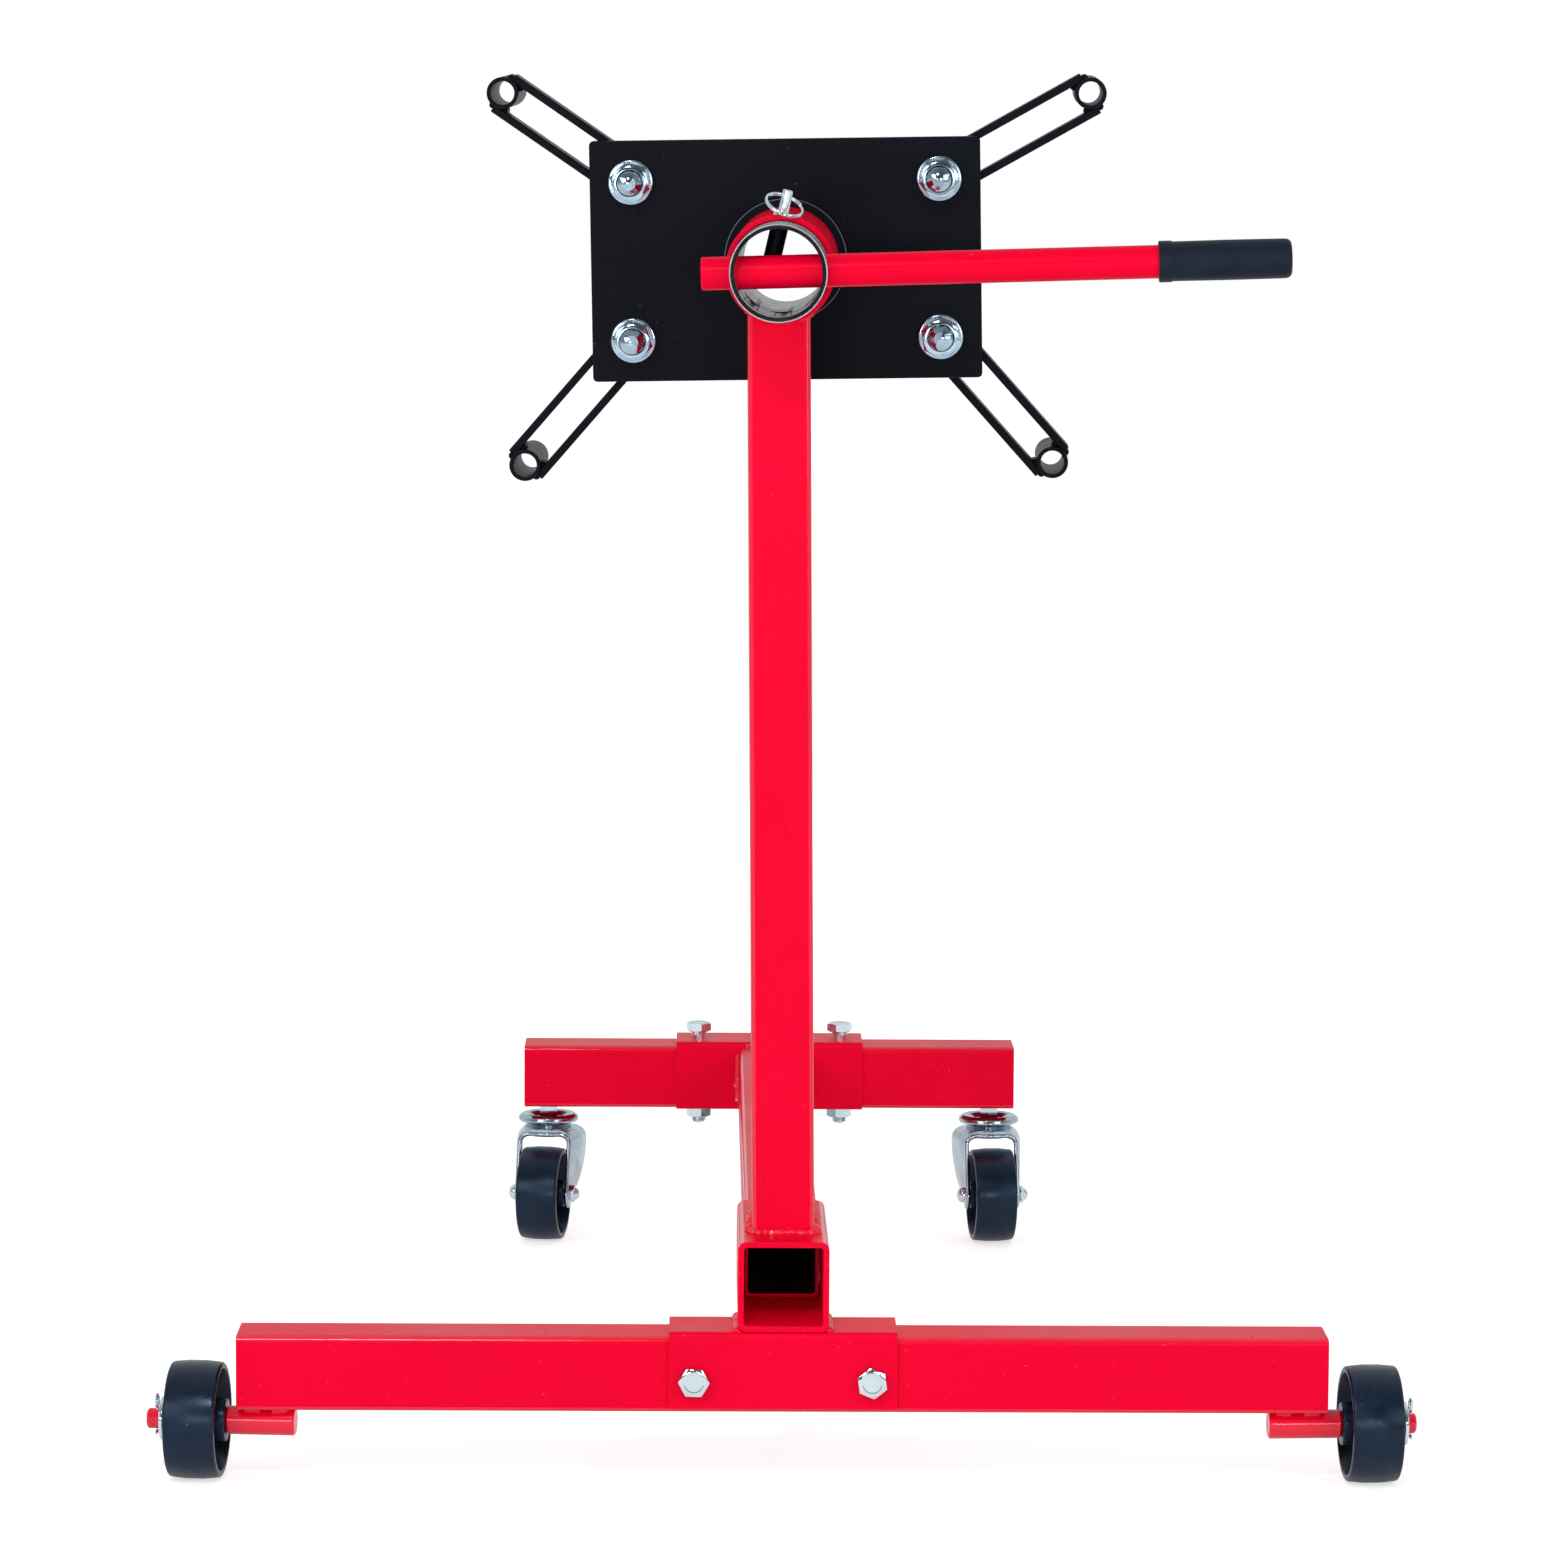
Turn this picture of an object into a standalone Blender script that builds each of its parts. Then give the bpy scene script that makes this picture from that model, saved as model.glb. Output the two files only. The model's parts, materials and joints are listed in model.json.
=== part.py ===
"""A four-wheeled engine stand: a T-shaped base of square tube, a post and a turning head with four arms.

Metres, +Z up. The viewer's side is -Y, the engine hangs on the +Y side, and the floor is z = 0.
"""

import math

import bmesh
import bpy
from mathutils import Matrix, Vector

# Fits
SEAT_GAP = 0.0003
RUNNING_GAP = 0.0004
HOLE_GAP = 0.0004

# Square tube of the base
BAR_SIDE = 0.050
BAR_WALL = 0.003
BAR_CORNER = 0.004
LONG_BAR_LENGTH = 0.718
SHORT_BAR_LENGTH = 0.395
BAR_SPACING = 0.900

# Saddles that clamp the two crossbars
SADDLE_LENGTH = 0.150
SADDLE_WALL = 0.004
SADDLE_CORNER = 0.0032
FRONT_SADDLE_SHORT = 0.0035
FRONT_BOLT_SPACING = 0.117
FRONT_BOLT_DROP = 0.028
REAR_BOLT_SPACING = 0.114
REAR_BOLT_LIFT = 0.005
SADDLE_BOLT_DIAMETER = 0.012
SADDLE_BOLT_FLATS = 0.018
SADDLE_BOLT_HEAD = 0.0075
SADDLE_NUT_HEIGHT = 0.010
SADDLE_BOLT_TAIL = 0.005

# Socket that takes the main beam
SOCKET_WALL = 0.004
SOCKET_LENGTH = 0.160
SOCKET_CLEARANCE = 0.001
BEAM_INSET = 0.100
LOCK_BOLT_DIAMETER = 0.010
LOCK_BOLT_FLATS = 0.017
LOCK_BOLT_HEAD = 0.0065
LOCK_BOLT_REACH = 0.022
LOCK_BOLT_FROM_END = 0.030

# Post and turning head
POST_WIDTH = 0.041
POST_DEPTH = 0.060
POST_WALL = 0.003
POST_SETBACK = 0.032
HEAD_BEHIND_POST = 0.012
HEAD_HEIGHT = 0.800
POST_LEAN = math.radians(0.6)
COLLAR_ASIDE = 0.0034
HEAD_TILT = math.radians(2.0)
HEAD_YAW = math.radians(2.3)
HEAD_ROLL = math.radians(-1.1)
PIPE_DIAMETER = 0.063
PIPE_WALL = 0.0032
PIPE_OVERHANG = 0.044
COLLAR_WALL = 0.0035
COLLAR_FRONT = 0.075
COLLAR_BACK = 0.050
FLANGE_DIAMETER = 0.082
FLANGE_THICKNESS = 0.008

# Mounting plate
PLATE_WIDTH = 0.260
PLATE_HEIGHT = 0.160
PLATE_THICKNESS = 0.010
PLATE_CORNER = 0.006
PLATE_BOLTS_WIDE = 0.205
PLATE_BOLTS_HIGH = 0.105

# Arms: two bars on edge with a boss tube, and the bolt that clamps each to the plate
ARM_BAR_THICKNESS = 0.0052
ARM_BAR_DEPTH = 0.025
ARM_SLOT = 0.0192
ARM_TAIL = 0.042
ARM_SPACER = 0.006
UPPER_LEFT_REACH = 0.104
UPPER_RIGHT_REACH = 0.115
LOWER_LEFT_REACH = 0.112
LOWER_RIGHT_REACH = 0.113
ARMS = {
    "upper_left": (-1, 1, UPPER_LEFT_REACH, math.radians(35.3)),
    "upper_right": (1, 1, UPPER_RIGHT_REACH, math.radians(28.3)),
    "lower_left": (-1, -1, LOWER_LEFT_REACH, math.radians(48.1)),
    "lower_right": (1, -1, LOWER_RIGHT_REACH, math.radians(49.2)),
}
BOSS_DIAMETER = 0.0212
BOSS_WALL = 0.0026
BOSS_LENGTH = 0.080
BOSS_NEAR_LIP = 0.004
ARM_BOLT_DIAMETER = 0.016
ARM_BOLT_FLATS = 0.024
ARM_BOLT_HEAD = 0.010
ARM_BOLT_TAIL = 0.009
ARM_NUT_HEIGHT = 0.013
ARM_WASHER_DIAMETER = 0.030
ARM_WASHER_THICKNESS = 0.003

# Turning handle
HANDLE_DIAMETER = 0.0214
HANDLE_LEFT = 0.0500
HANDLE_RIGHT = 0.322
HANDLE_FROM_RIM = 0.022
HANDLE_ROLL = math.radians(-1.9)
GRIP_DIAMETER = 0.0258
GRIP_LENGTH = 0.085
GRIP_CAP = 0.005
GRIP_EDGE = 0.001
GRIP_LIP = 0.0008
GRIP_END_HOLE = 0.005

# Lock pin on top of the collar and its pull ring
LOCK_HOLES = 8
PIN_DIAMETER = 0.007
PIN_PLAY = 0.0012
PIN_FROM_FRONT = 0.016
PIN_PROUD = 0.0158
PIN_LEAN = math.radians(13.0)
PIN_EYE_BELOW_TOP = 0.0045
PIN_EYE_DIAMETER = 0.0038
RING_RADIUS = 0.0124
RING_WIRE = 0.0022
RING_SLOPE = math.radians(24.0)

# Front wheels and axles
WHEEL_RADIUS = 0.039
WHEEL_WIDTH = 0.034
LEFT_WHEEL_FROM_BAR = 0.0106
RIGHT_WHEEL_FROM_BAR = 0.0135
WHEEL_RIM = 0.011
WHEEL_HUB = 0.0145
WHEEL_HUB_OUTWARD = 0.0035
WHEEL_HUB_INWARD = 0.0030
WHEEL_WEB = 0.009
WHEEL_SIDES = 32
WHEEL_GAP = 0.0005
TREAD_CROWN = 0.001
TREAD_SHOULDER = 0.005
AXLE_DIAMETER = 0.019
AXLE_JOURNAL = 0.0135
AXLE_UNDER_BAR = 0.038
AXLE_FORWARD = 0.008
AXLE_PAST_BAR = 0.0605
AXLE_TOE = {"left": math.radians(5.0), "right": math.radians(3.2)}
WASHER_DIAMETER = 0.029
WASHER_THICKNESS = 0.0025
COTTER_WIRE = 0.0024
COTTER_FROM_WASHER = 0.003
COTTER_TAIL = 0.004
COTTER_EYE = 0.003

# Casters
CASTER_INSET = 0.019
CASTER_WHEEL_RADIUS = 0.0375
CASTER_WHEEL_WIDTH = 0.033
CASTER_WHEEL_RIM = 0.010
CASTER_WHEEL_HUB = 0.010
CASTER_TRAIL = 0.022
CASTER_SWIVEL = {"left": math.radians(-9.0), "right": math.radians(5.0)}
STEM_FLATS = 0.014
STEM_HEX = 0.006
STEM_DIAMETER = 0.0105
STEM_IN_BAR = 0.016
STEM_HEAD_DIAMETER = 0.020
STEM_HEAD = 0.004
CAP_DIAMETER = 0.049
CAP_HEIGHT = 0.008
CAP_RIM = 0.003
FORK_PLATE = 0.004
FORK_LEG = 0.004
FORK_SIDE_GAP = 0.002
FORK_LEG_TOP = 0.036
FORK_FOOT = 0.010
CASTER_BOLT_DIAMETER = 0.0095
CASTER_BOLT_HEAD_DIAMETER = 0.0145
CASTER_BOLT_HEAD = 0.0055
CASTER_NUT_FLATS = 0.0145
CASTER_NUT_HEIGHT = 0.007

# Facets on round pieces
ROUND_LARGE = 36
ROUND_MEDIUM = 20
ROUND_SMALL = 12
CORNER_STEPS = 3
BEND_STEPS = 4
CUT_PAST = 0.004

# Heights and places that follow from the sizes above
LONG_BAR_BOTTOM = WHEEL_RADIUS + AXLE_DIAMETER / 2 + SEAT_GAP
LONG_BAR_TOP = LONG_BAR_BOTTOM + BAR_SIDE
SADDLE_TOP = LONG_BAR_TOP + SEAT_GAP + SADDLE_WALL
SOCKET_SIDE = BAR_SIDE + 2 * SOCKET_CLEARANCE + 2 * SOCKET_WALL
SOCKET_BOTTOM = SADDLE_TOP + SEAT_GAP
SOCKET_TOP = SOCKET_BOTTOM + SOCKET_SIDE
BEAM_BOTTOM = SOCKET_BOTTOM + SOCKET_WALL + SEAT_GAP
SADDLE_HALF_DEPTH = BAR_SIDE / 2 + SEAT_GAP + SADDLE_WALL
POST_Y = -SADDLE_HALF_DEPTH + POST_SETBACK + POST_DEPTH / 2
HEAD_Y = POST_Y + HEAD_BEHIND_POST
HEAD_X = COLLAR_ASIDE - (HEAD_HEIGHT - SOCKET_TOP) * math.tan(POST_LEAN)
HEAD_TURNS = (HEAD_TILT, 0, -HEAD_YAW)
PIPE_RADIUS = PIPE_DIAMETER / 2
COLLAR_INNER = PIPE_RADIUS + RUNNING_GAP
COLLAR_OUTER = COLLAR_INNER + COLLAR_WALL
PIPE_NEAR = -COLLAR_FRONT - PIPE_OVERHANG
FLANGE_NEAR = COLLAR_BACK + RUNNING_GAP
PLATE_NEAR = FLANGE_NEAR + FLANGE_THICKNESS + SEAT_GAP
PLATE_FAR = PLATE_NEAR + PLATE_THICKNESS
ARM_NEAR = PLATE_FAR + SEAT_GAP
ARM_FAR = ARM_NEAR + ARM_BAR_DEPTH
WHEEL_FROM_BAR = {"left": LEFT_WHEEL_FROM_BAR, "right": RIGHT_WHEEL_FROM_BAR}
CASTER_X = SHORT_BAR_LENGTH / 2 - CASTER_INSET
FORK_DIAMETER = CASTER_WHEEL_WIDTH + 2 * (FORK_SIDE_GAP + FORK_LEG)
HEAD_FORWARD = math.cos(HEAD_TILT) * math.cos(HEAD_YAW)
GRIP_END_Y = HEAD_Y + (PIPE_NEAR + HANDLE_FROM_RIM) * HEAD_FORWARD - HANDLE_RIGHT * math.sin(HEAD_YAW)
GRIP_END_Y += HANDLE_RIGHT * math.sin(HANDLE_ROLL) * math.sin(HEAD_TILT)
FRONT_OF_STAND = GRIP_END_Y - GRIP_DIAMETER / 2 * math.cos(HEAD_YAW)
BACK_OF_STAND = BAR_SPACING + SADDLE_HALF_DEPTH
STAND_Y = -(FRONT_OF_STAND + BACK_OF_STAND) / 2

for item in list(bpy.data.objects):
    bpy.data.objects.remove(item)

parts = bpy.data.collections.new("engine_stand")
cutters = bpy.data.collections.new("cutters")
bpy.context.scene.collection.children.link(parts)
bpy.context.scene.collection.children.link(cutters)


def finish(name, colour, roughness, metallic):
    """A plain surface with this colour, roughness and metallic value."""
    material = bpy.data.materials.new(name)
    material.use_nodes = True
    shader = material.node_tree.nodes["Principled BSDF"]
    shader.inputs["Base Color"].default_value = (*colour, 1.0)
    shader.inputs["Roughness"].default_value = roughness
    shader.inputs["Metallic"].default_value = metallic
    return material


RED = finish("red_paint", (0.80, 0.005, 0.025), 0.28, 0.0)
BLACK = finish("black_paint", (0.012, 0.013, 0.018), 0.42, 0.0)
ZINC = finish("zinc_plate", (0.62, 0.65, 0.70), 0.30, 1.0)
STEEL = finish("bare_steel", (0.42, 0.43, 0.45), 0.40, 1.0)
WHEEL = finish("wheel_rubber", (0.020, 0.021, 0.026), 0.55, 0.0)
GRIP = finish("grip_plastic", (0.028, 0.032, 0.060), 0.45, 0.0)


def empty(name, parent=None, location=(0, 0, 0), rotation=(0, 0, 0)):
    """A carrier that its children are placed from."""
    carrier = bpy.data.objects.new(name, None)
    parts.objects.link(carrier)
    carrier.parent = parent
    carrier.location = location
    carrier.rotation_euler = rotation
    return carrier


def place(name, mesh, material, parent, location=(0, 0, 0), rotation=(0, 0, 0)):
    """One named piece of the stand."""
    piece = bpy.data.objects.new(name, mesh)
    parts.objects.link(piece)
    mesh.materials.append(material)
    mesh.shade_smooth()
    mesh.set_sharp_from_angle(angle=math.radians(35))
    piece.parent = parent
    piece.location = location
    piece.rotation_euler = rotation
    return piece


def turned_to(axis):
    """The turn that takes local Z to this axis."""
    if axis == "X":
        return Matrix.Rotation(math.pi / 2, 4, "Y")
    if axis == "Y":
        return Matrix.Rotation(-math.pi / 2, 4, "X")
    return Matrix.Identity(4)


def mesh_from(shape, name, weld=0.0):
    """The shape's faces as a new mesh, facing out."""
    mesh = bpy.data.meshes.new(name)
    if weld:
        bmesh.ops.remove_doubles(shape, verts=shape.verts, dist=weld)
    bmesh.ops.recalc_face_normals(shape, faces=shape.faces)
    if shape.calc_volume(signed=True) < 0:
        bmesh.ops.reverse_faces(shape, faces=shape.faces)
    shape.to_mesh(mesh)
    shape.free()
    return mesh


def evaluated_mesh(source, name):
    """The mesh that a curve or a modifier makes, with the source object removed."""
    bpy.context.view_layer.update()
    graph = bpy.context.evaluated_depsgraph_get()
    made = bpy.data.meshes.new_from_object(source.evaluated_get(graph))
    shape = bmesh.new()
    shape.from_mesh(made)
    bpy.data.meshes.remove(made)
    bpy.data.objects.remove(source)
    return mesh_from(shape, name, weld=1e-6)


def cylinder(name, diameter, low, high, axis, sides=ROUND_MEDIUM, far_diameter=None):
    """A rod, or a taper, along an axis from low to high, with its facets centred on the axes."""
    shape = bmesh.new()
    bmesh.ops.create_cone(
        shape,
        cap_ends=True,
        segments=sides,
        radius1=diameter / 2,
        radius2=(far_diameter or diameter) / 2,
        depth=high - low,
    )
    middle = Matrix.Translation((0, 0, (low + high) / 2))
    shape.transform(turned_to(axis) @ middle @ Matrix.Rotation(math.pi / sides, 4, "Z"))
    return mesh_from(shape, name)


def hexagon(name, flats, low, high, axis):
    """A six-sided prism, given across its flats."""
    return cylinder(name, flats / math.cos(math.pi / 6), low, high, axis, sides=6)


def block(name, low, high):
    """A box between two corners."""
    shape = bmesh.new()
    bmesh.ops.create_cube(shape, size=1.0)
    low, high = Vector(low), Vector(high)
    bmesh.ops.scale(shape, vec=high - low, verts=shape.verts)
    bmesh.ops.translate(shape, vec=(low + high) / 2, verts=shape.verts)
    return mesh_from(shape, name)


def turned(name, profile, axis, sides):
    """A closed profile of (radius, along) points swept once round an axis, a facet facing straight down."""
    shape = bmesh.new()
    points = [shape.verts.new((radius, 0, along)) for radius, along in profile]
    for first, second in zip(points, points[1:] + points[:1]):
        shape.edges.new((first, second))
    outline = bpy.data.meshes.new(name)
    shape.to_mesh(outline)
    shape.free()
    source = bpy.data.objects.new(name, outline)
    cutters.objects.link(source)
    screw = source.modifiers.new("sweep", "SCREW")
    screw.steps = sides
    screw.render_steps = sides
    screw.use_merge_vertices = True
    screw.merge_threshold = 1e-5
    mesh = evaluated_mesh(source, name)
    bpy.data.meshes.remove(outline)
    mesh.transform(turned_to(axis) @ Matrix.Rotation(math.pi / sides, 4, "Z"))
    return mesh


def ring(name, inner, outer, low, high, axis, sides=ROUND_MEDIUM):
    """A plain tube, by its inner and outer diameters."""
    inner, outer = inner / 2, outer / 2
    return turned(name, [(inner, low), (outer, low), (outer, high), (inner, high)], axis, sides)


def rounded_rectangle(width, height, radius):
    """The outline of a rectangle with round corners, anticlockwise about its centre."""
    points = []
    for quarter, (side_x, side_y) in enumerate(((1, 1), (-1, 1), (-1, -1), (1, -1))):
        centre_x = side_x * (width / 2 - radius)
        centre_y = side_y * (height / 2 - radius)
        for step in range(CORNER_STEPS + 1):
            turn = (quarter + step / CORNER_STEPS) * math.pi / 2
            points.append((centre_x + radius * math.cos(turn), centre_y + radius * math.sin(turn)))
    return points


def extruded(name, outlines, thickness, along):
    """A flat outline, with any holes, made as thick as asked along an axis and centred on it.

    Along X the outline's (x, y) lie on (Y, Z), along Y on (X, Z) and along Z on (X, Y).
    """
    curve = bpy.data.curves.new(name, "CURVE")
    curve.dimensions = "2D"
    curve.fill_mode = "BOTH"
    curve.extrude = thickness / 2
    for outline in outlines:
        spline = curve.splines.new("POLY")
        spline.points.add(len(outline) - 1)
        spline.use_cyclic_u = True
        for point, (x, y) in zip(spline.points, outline):
            point.co = (x, y, 0, 1)
    source = bpy.data.objects.new(name, curve)
    cutters.objects.link(source)
    mesh = evaluated_mesh(source, name)
    bpy.data.curves.remove(curve)
    if along == "X":
        mesh.transform(Matrix(((0, 0, 1, 0), (1, 0, 0, 0), (0, 1, 0, 0), (0, 0, 0, 1))))
    if along == "Y":
        mesh.transform(Matrix.Rotation(math.pi / 2, 4, "X"))
    return mesh


def tube_outline(width, height, wall, corner):
    """The two outlines of a rectangular tube with rounded corners."""
    inner_corner = max(corner - wall, wall / 4)
    inner = rounded_rectangle(width - 2 * wall, height - 2 * wall, inner_corner)
    return [rounded_rectangle(width, height, corner), inner]


def combine(piece, mesh, operation, location=(0, 0, 0), rotation=(0, 0, 0)):
    """Joins a mesh to a piece, or cuts it out, at a place in the space of the piece's parent."""
    other = bpy.data.objects.new(f"{piece.name}.{mesh.name}", mesh)
    cutters.objects.link(other)
    other.parent = piece.parent
    other.location = location
    other.rotation_euler = rotation
    other.hide_render = True
    other.display_type = "WIRE"
    change = piece.modifiers.new(mesh.name, "BOOLEAN")
    change.operation = operation
    change.solver = "EXACT"
    change.object = other


def cut(piece, mesh, location=(0, 0, 0), rotation=(0, 0, 0)):
    combine(piece, mesh, "DIFFERENCE", location, rotation)


def join(piece, mesh, location=(0, 0, 0), rotation=(0, 0, 0)):
    combine(piece, mesh, "UNION", location, rotation)


def hole(piece, diameter, low, high, axis, location=(0, 0, 0)):
    """A round hole right through a piece, made past both faces."""
    cut(piece, cylinder("hole", diameter, low - CUT_PAST, high + CUT_PAST, axis, ROUND_SMALL), location)


def hex_bolt(name, diameter, flats, head, length, axis, material, parent, location, facing=1):
    """A bolt whose head starts at its place and whose shank runs the other way along the axis."""
    head_ends = sorted((0, facing * head))
    shank_ends = sorted((facing * head / 2, -facing * length))
    bolt = place(name, hexagon(name, flats, *head_ends, axis), material, parent, location)
    join(bolt, cylinder("shank", diameter, *shank_ends, axis, ROUND_SMALL), location)
    return bolt


def hex_nut(name, diameter, flats, height, axis, material, parent, location):
    """A nut that starts at its place and is as high as asked along the axis, up or down."""
    low, high = sorted((0, height))
    nut = place(name, hexagon(name, flats, low, high, axis), material, parent, location)
    hole(nut, diameter + 2 * HOLE_GAP, low, high, axis, location)
    return nut


stand = empty("stand", location=(0, STAND_Y, 0))
LEFT_RIGHT = (("left", -1), ("right", 1))


# Long front crossbar, its saddle and the two through bolts
def build_front_crossbar():
    bar_middle = LONG_BAR_BOTTOM + BAR_SIDE / 2
    outline = tube_outline(BAR_SIDE, BAR_SIDE, BAR_WALL, BAR_CORNER)
    mesh = extruded("long_crossbar", outline, LONG_BAR_LENGTH, "X")
    bar = place("long_crossbar", mesh, RED, stand, (0, 0, bar_middle))
    inner = BAR_SIDE / 2 + SEAT_GAP
    outer = inner + SADDLE_WALL
    lowest = LONG_BAR_BOTTOM + FRONT_SADDLE_SHORT
    saddle = place("front_saddle", saddle_mesh("front_saddle", LONG_BAR_TOP, lowest), RED, stand)
    bolt_height = LONG_BAR_TOP - FRONT_BOLT_DROP
    for side, sign in LEFT_RIGHT:
        at = (sign * FRONT_BOLT_SPACING / 2, 0, bolt_height)
        hole(bar, SADDLE_BOLT_DIAMETER + 2 * HOLE_GAP, -outer, outer, "Y", at)
        hole(saddle, SADDLE_BOLT_DIAMETER + 2 * HOLE_GAP, -outer, outer, "Y", at)
        head_at = (at[0], -outer - SEAT_GAP, bolt_height)
        length = 2 * (outer + SEAT_GAP) + SADDLE_NUT_HEIGHT + SADDLE_BOLT_TAIL
        sizes = (SADDLE_BOLT_DIAMETER, SADDLE_BOLT_FLATS, SADDLE_BOLT_HEAD, length)
        hex_bolt(f"front_saddle_bolt_{side}", *sizes, "Y", ZINC, stand, head_at, facing=-1)
        nut_at = (at[0], outer + SEAT_GAP, bolt_height)
        nut_sizes = (SADDLE_BOLT_DIAMETER, SADDLE_BOLT_FLATS, SADDLE_NUT_HEIGHT)
        hex_nut(f"front_saddle_nut_{side}", *nut_sizes, "Y", ZINC, stand, nut_at)


def saddle_mesh(name, bar_top, lowest):
    """An inverted channel over a crossbar whose top is given, reaching down to the lowest height."""
    inner = BAR_SIDE / 2 + SEAT_GAP
    outer = inner + SADDLE_WALL
    top = bar_top + SEAT_GAP + SADDLE_WALL
    under = bar_top + SEAT_GAP
    outline = [(outer, lowest)]
    for corner, start in ((1, 0), (-1, 1)):
        for step in range(CORNER_STEPS + 1):
            turn = (start + step / CORNER_STEPS) * math.pi / 2
            across = corner * (outer - SADDLE_CORNER) + SADDLE_CORNER * math.cos(turn)
            outline.append((across, top - SADDLE_CORNER + SADDLE_CORNER * math.sin(turn)))
    outline += [(-outer, lowest), (-inner, lowest), (-inner, under), (inner, under), (inner, lowest)]
    return extruded(name, [outline], SADDLE_LENGTH, "X")


# Socket, main beam and the bolt that locks the beam in the socket
def build_socket_and_beam():
    mouth = -SADDLE_HALF_DEPTH
    corner = BAR_CORNER + SOCKET_WALL / 2
    outline = tube_outline(SOCKET_SIDE, SOCKET_SIDE, SOCKET_WALL, corner)
    socket_at = (0, mouth + SOCKET_LENGTH / 2, SOCKET_BOTTOM + SOCKET_SIDE / 2)
    mesh = extruded("socket_tube", outline, SOCKET_LENGTH, "Y")
    socket = place("socket_tube", mesh, RED, stand, socket_at)
    beam_start = mouth + BEAM_INSET
    beam_end = BAR_SPACING - SADDLE_HALF_DEPTH - SEAT_GAP
    outline = tube_outline(BAR_SIDE, BAR_SIDE, BAR_WALL, BAR_CORNER)
    beam_at = (0, (beam_start + beam_end) / 2, BEAM_BOTTOM + BAR_SIDE / 2)
    mesh = extruded("main_beam", outline, beam_end - beam_start, "Y")
    beam = place("main_beam", mesh, RED, stand, beam_at)
    bolt_y = mouth + SOCKET_LENGTH - LOCK_BOLT_FROM_END
    bolt_at = (0, bolt_y, SOCKET_BOTTOM - SEAT_GAP)
    for piece in (socket, beam):
        hole(piece, LOCK_BOLT_DIAMETER + 2 * HOLE_GAP, 0, LOCK_BOLT_REACH, "Z", bolt_at)
    sizes = (LOCK_BOLT_DIAMETER, LOCK_BOLT_FLATS, LOCK_BOLT_HEAD, LOCK_BOLT_REACH)
    hex_bolt("beam_lock_bolt", *sizes, "Z", ZINC, stand, bolt_at, facing=-1)


# Short rear crossbar, its saddle and the two upright bolts
def build_rear_crossbar():
    bar_middle = BEAM_BOTTOM + BAR_SIDE / 2
    bar_top = BEAM_BOTTOM + BAR_SIDE
    outline = tube_outline(BAR_SIDE, BAR_SIDE, BAR_WALL, BAR_CORNER)
    mesh = extruded("short_crossbar", outline, SHORT_BAR_LENGTH, "X")
    bar = place("short_crossbar", mesh, RED, stand, (0, BAR_SPACING, bar_middle))
    mesh = saddle_mesh("rear_saddle", bar_top, BEAM_BOTTOM)
    saddle = place("rear_saddle", mesh, RED, stand, (0, BAR_SPACING, 0))
    saddle_top = bar_top + SEAT_GAP + SADDLE_WALL
    for side, sign in LEFT_RIGHT:
        at = (sign * REAR_BOLT_SPACING / 2, BAR_SPACING, 0)
        for piece in (bar, saddle):
            hole(piece, SADDLE_BOLT_DIAMETER + 2 * HOLE_GAP, BEAM_BOTTOM, saddle_top, "Z", at)
        head_at = (at[0], BAR_SPACING, saddle_top + REAR_BOLT_LIFT)
        length = head_at[2] - BEAM_BOTTOM + SEAT_GAP + SADDLE_NUT_HEIGHT + SADDLE_BOLT_TAIL
        sizes = (SADDLE_BOLT_DIAMETER, SADDLE_BOLT_FLATS, SADDLE_BOLT_HEAD, length)
        hex_bolt(f"rear_saddle_bolt_{side}", *sizes, "Z", ZINC, stand, head_at)
        nut_at = (at[0], BAR_SPACING, BEAM_BOTTOM - SEAT_GAP)
        nut_sizes = (SADDLE_BOLT_DIAMETER, SADDLE_BOLT_FLATS, -SADDLE_NUT_HEIGHT)
        hex_nut(f"rear_saddle_nut_{side}", *nut_sizes, "Z", ZINC, stand, nut_at)
        caster_at = (sign * CASTER_X, BAR_SPACING, 0)
        hole(bar, STEM_DIAMETER + 2 * HOLE_GAP, BEAM_BOTTOM, BEAM_BOTTOM + BAR_WALL, "Z", caster_at)


def wheel_profile(radius, width, rim, hub, bore):
    """Half section of a moulded wheel: crowned tread, recessed sides, a web and a hub."""
    outer = radius / math.cos(math.pi / WHEEL_SIDES)
    half = width / 2
    web = WHEEL_WEB / 2
    shoulder = TREAD_SHOULDER
    ease = shoulder * (1 - math.cos(math.pi / 4))
    side = [
        (bore / 2, half),
        (hub, half),
        (hub, web),
        (outer - rim, web),
        (outer - rim, half - shoulder / 2),
        (outer - rim + shoulder / 2, half),
        (outer - shoulder, half),
        (outer - TREAD_CROWN - ease, half - ease),
        (outer - TREAD_CROWN, half - shoulder),
    ]
    tread = [(outer, half / 3), (outer, -half / 3)]
    return side + tread + [(across, -along) for across, along in reversed(side)]


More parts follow.
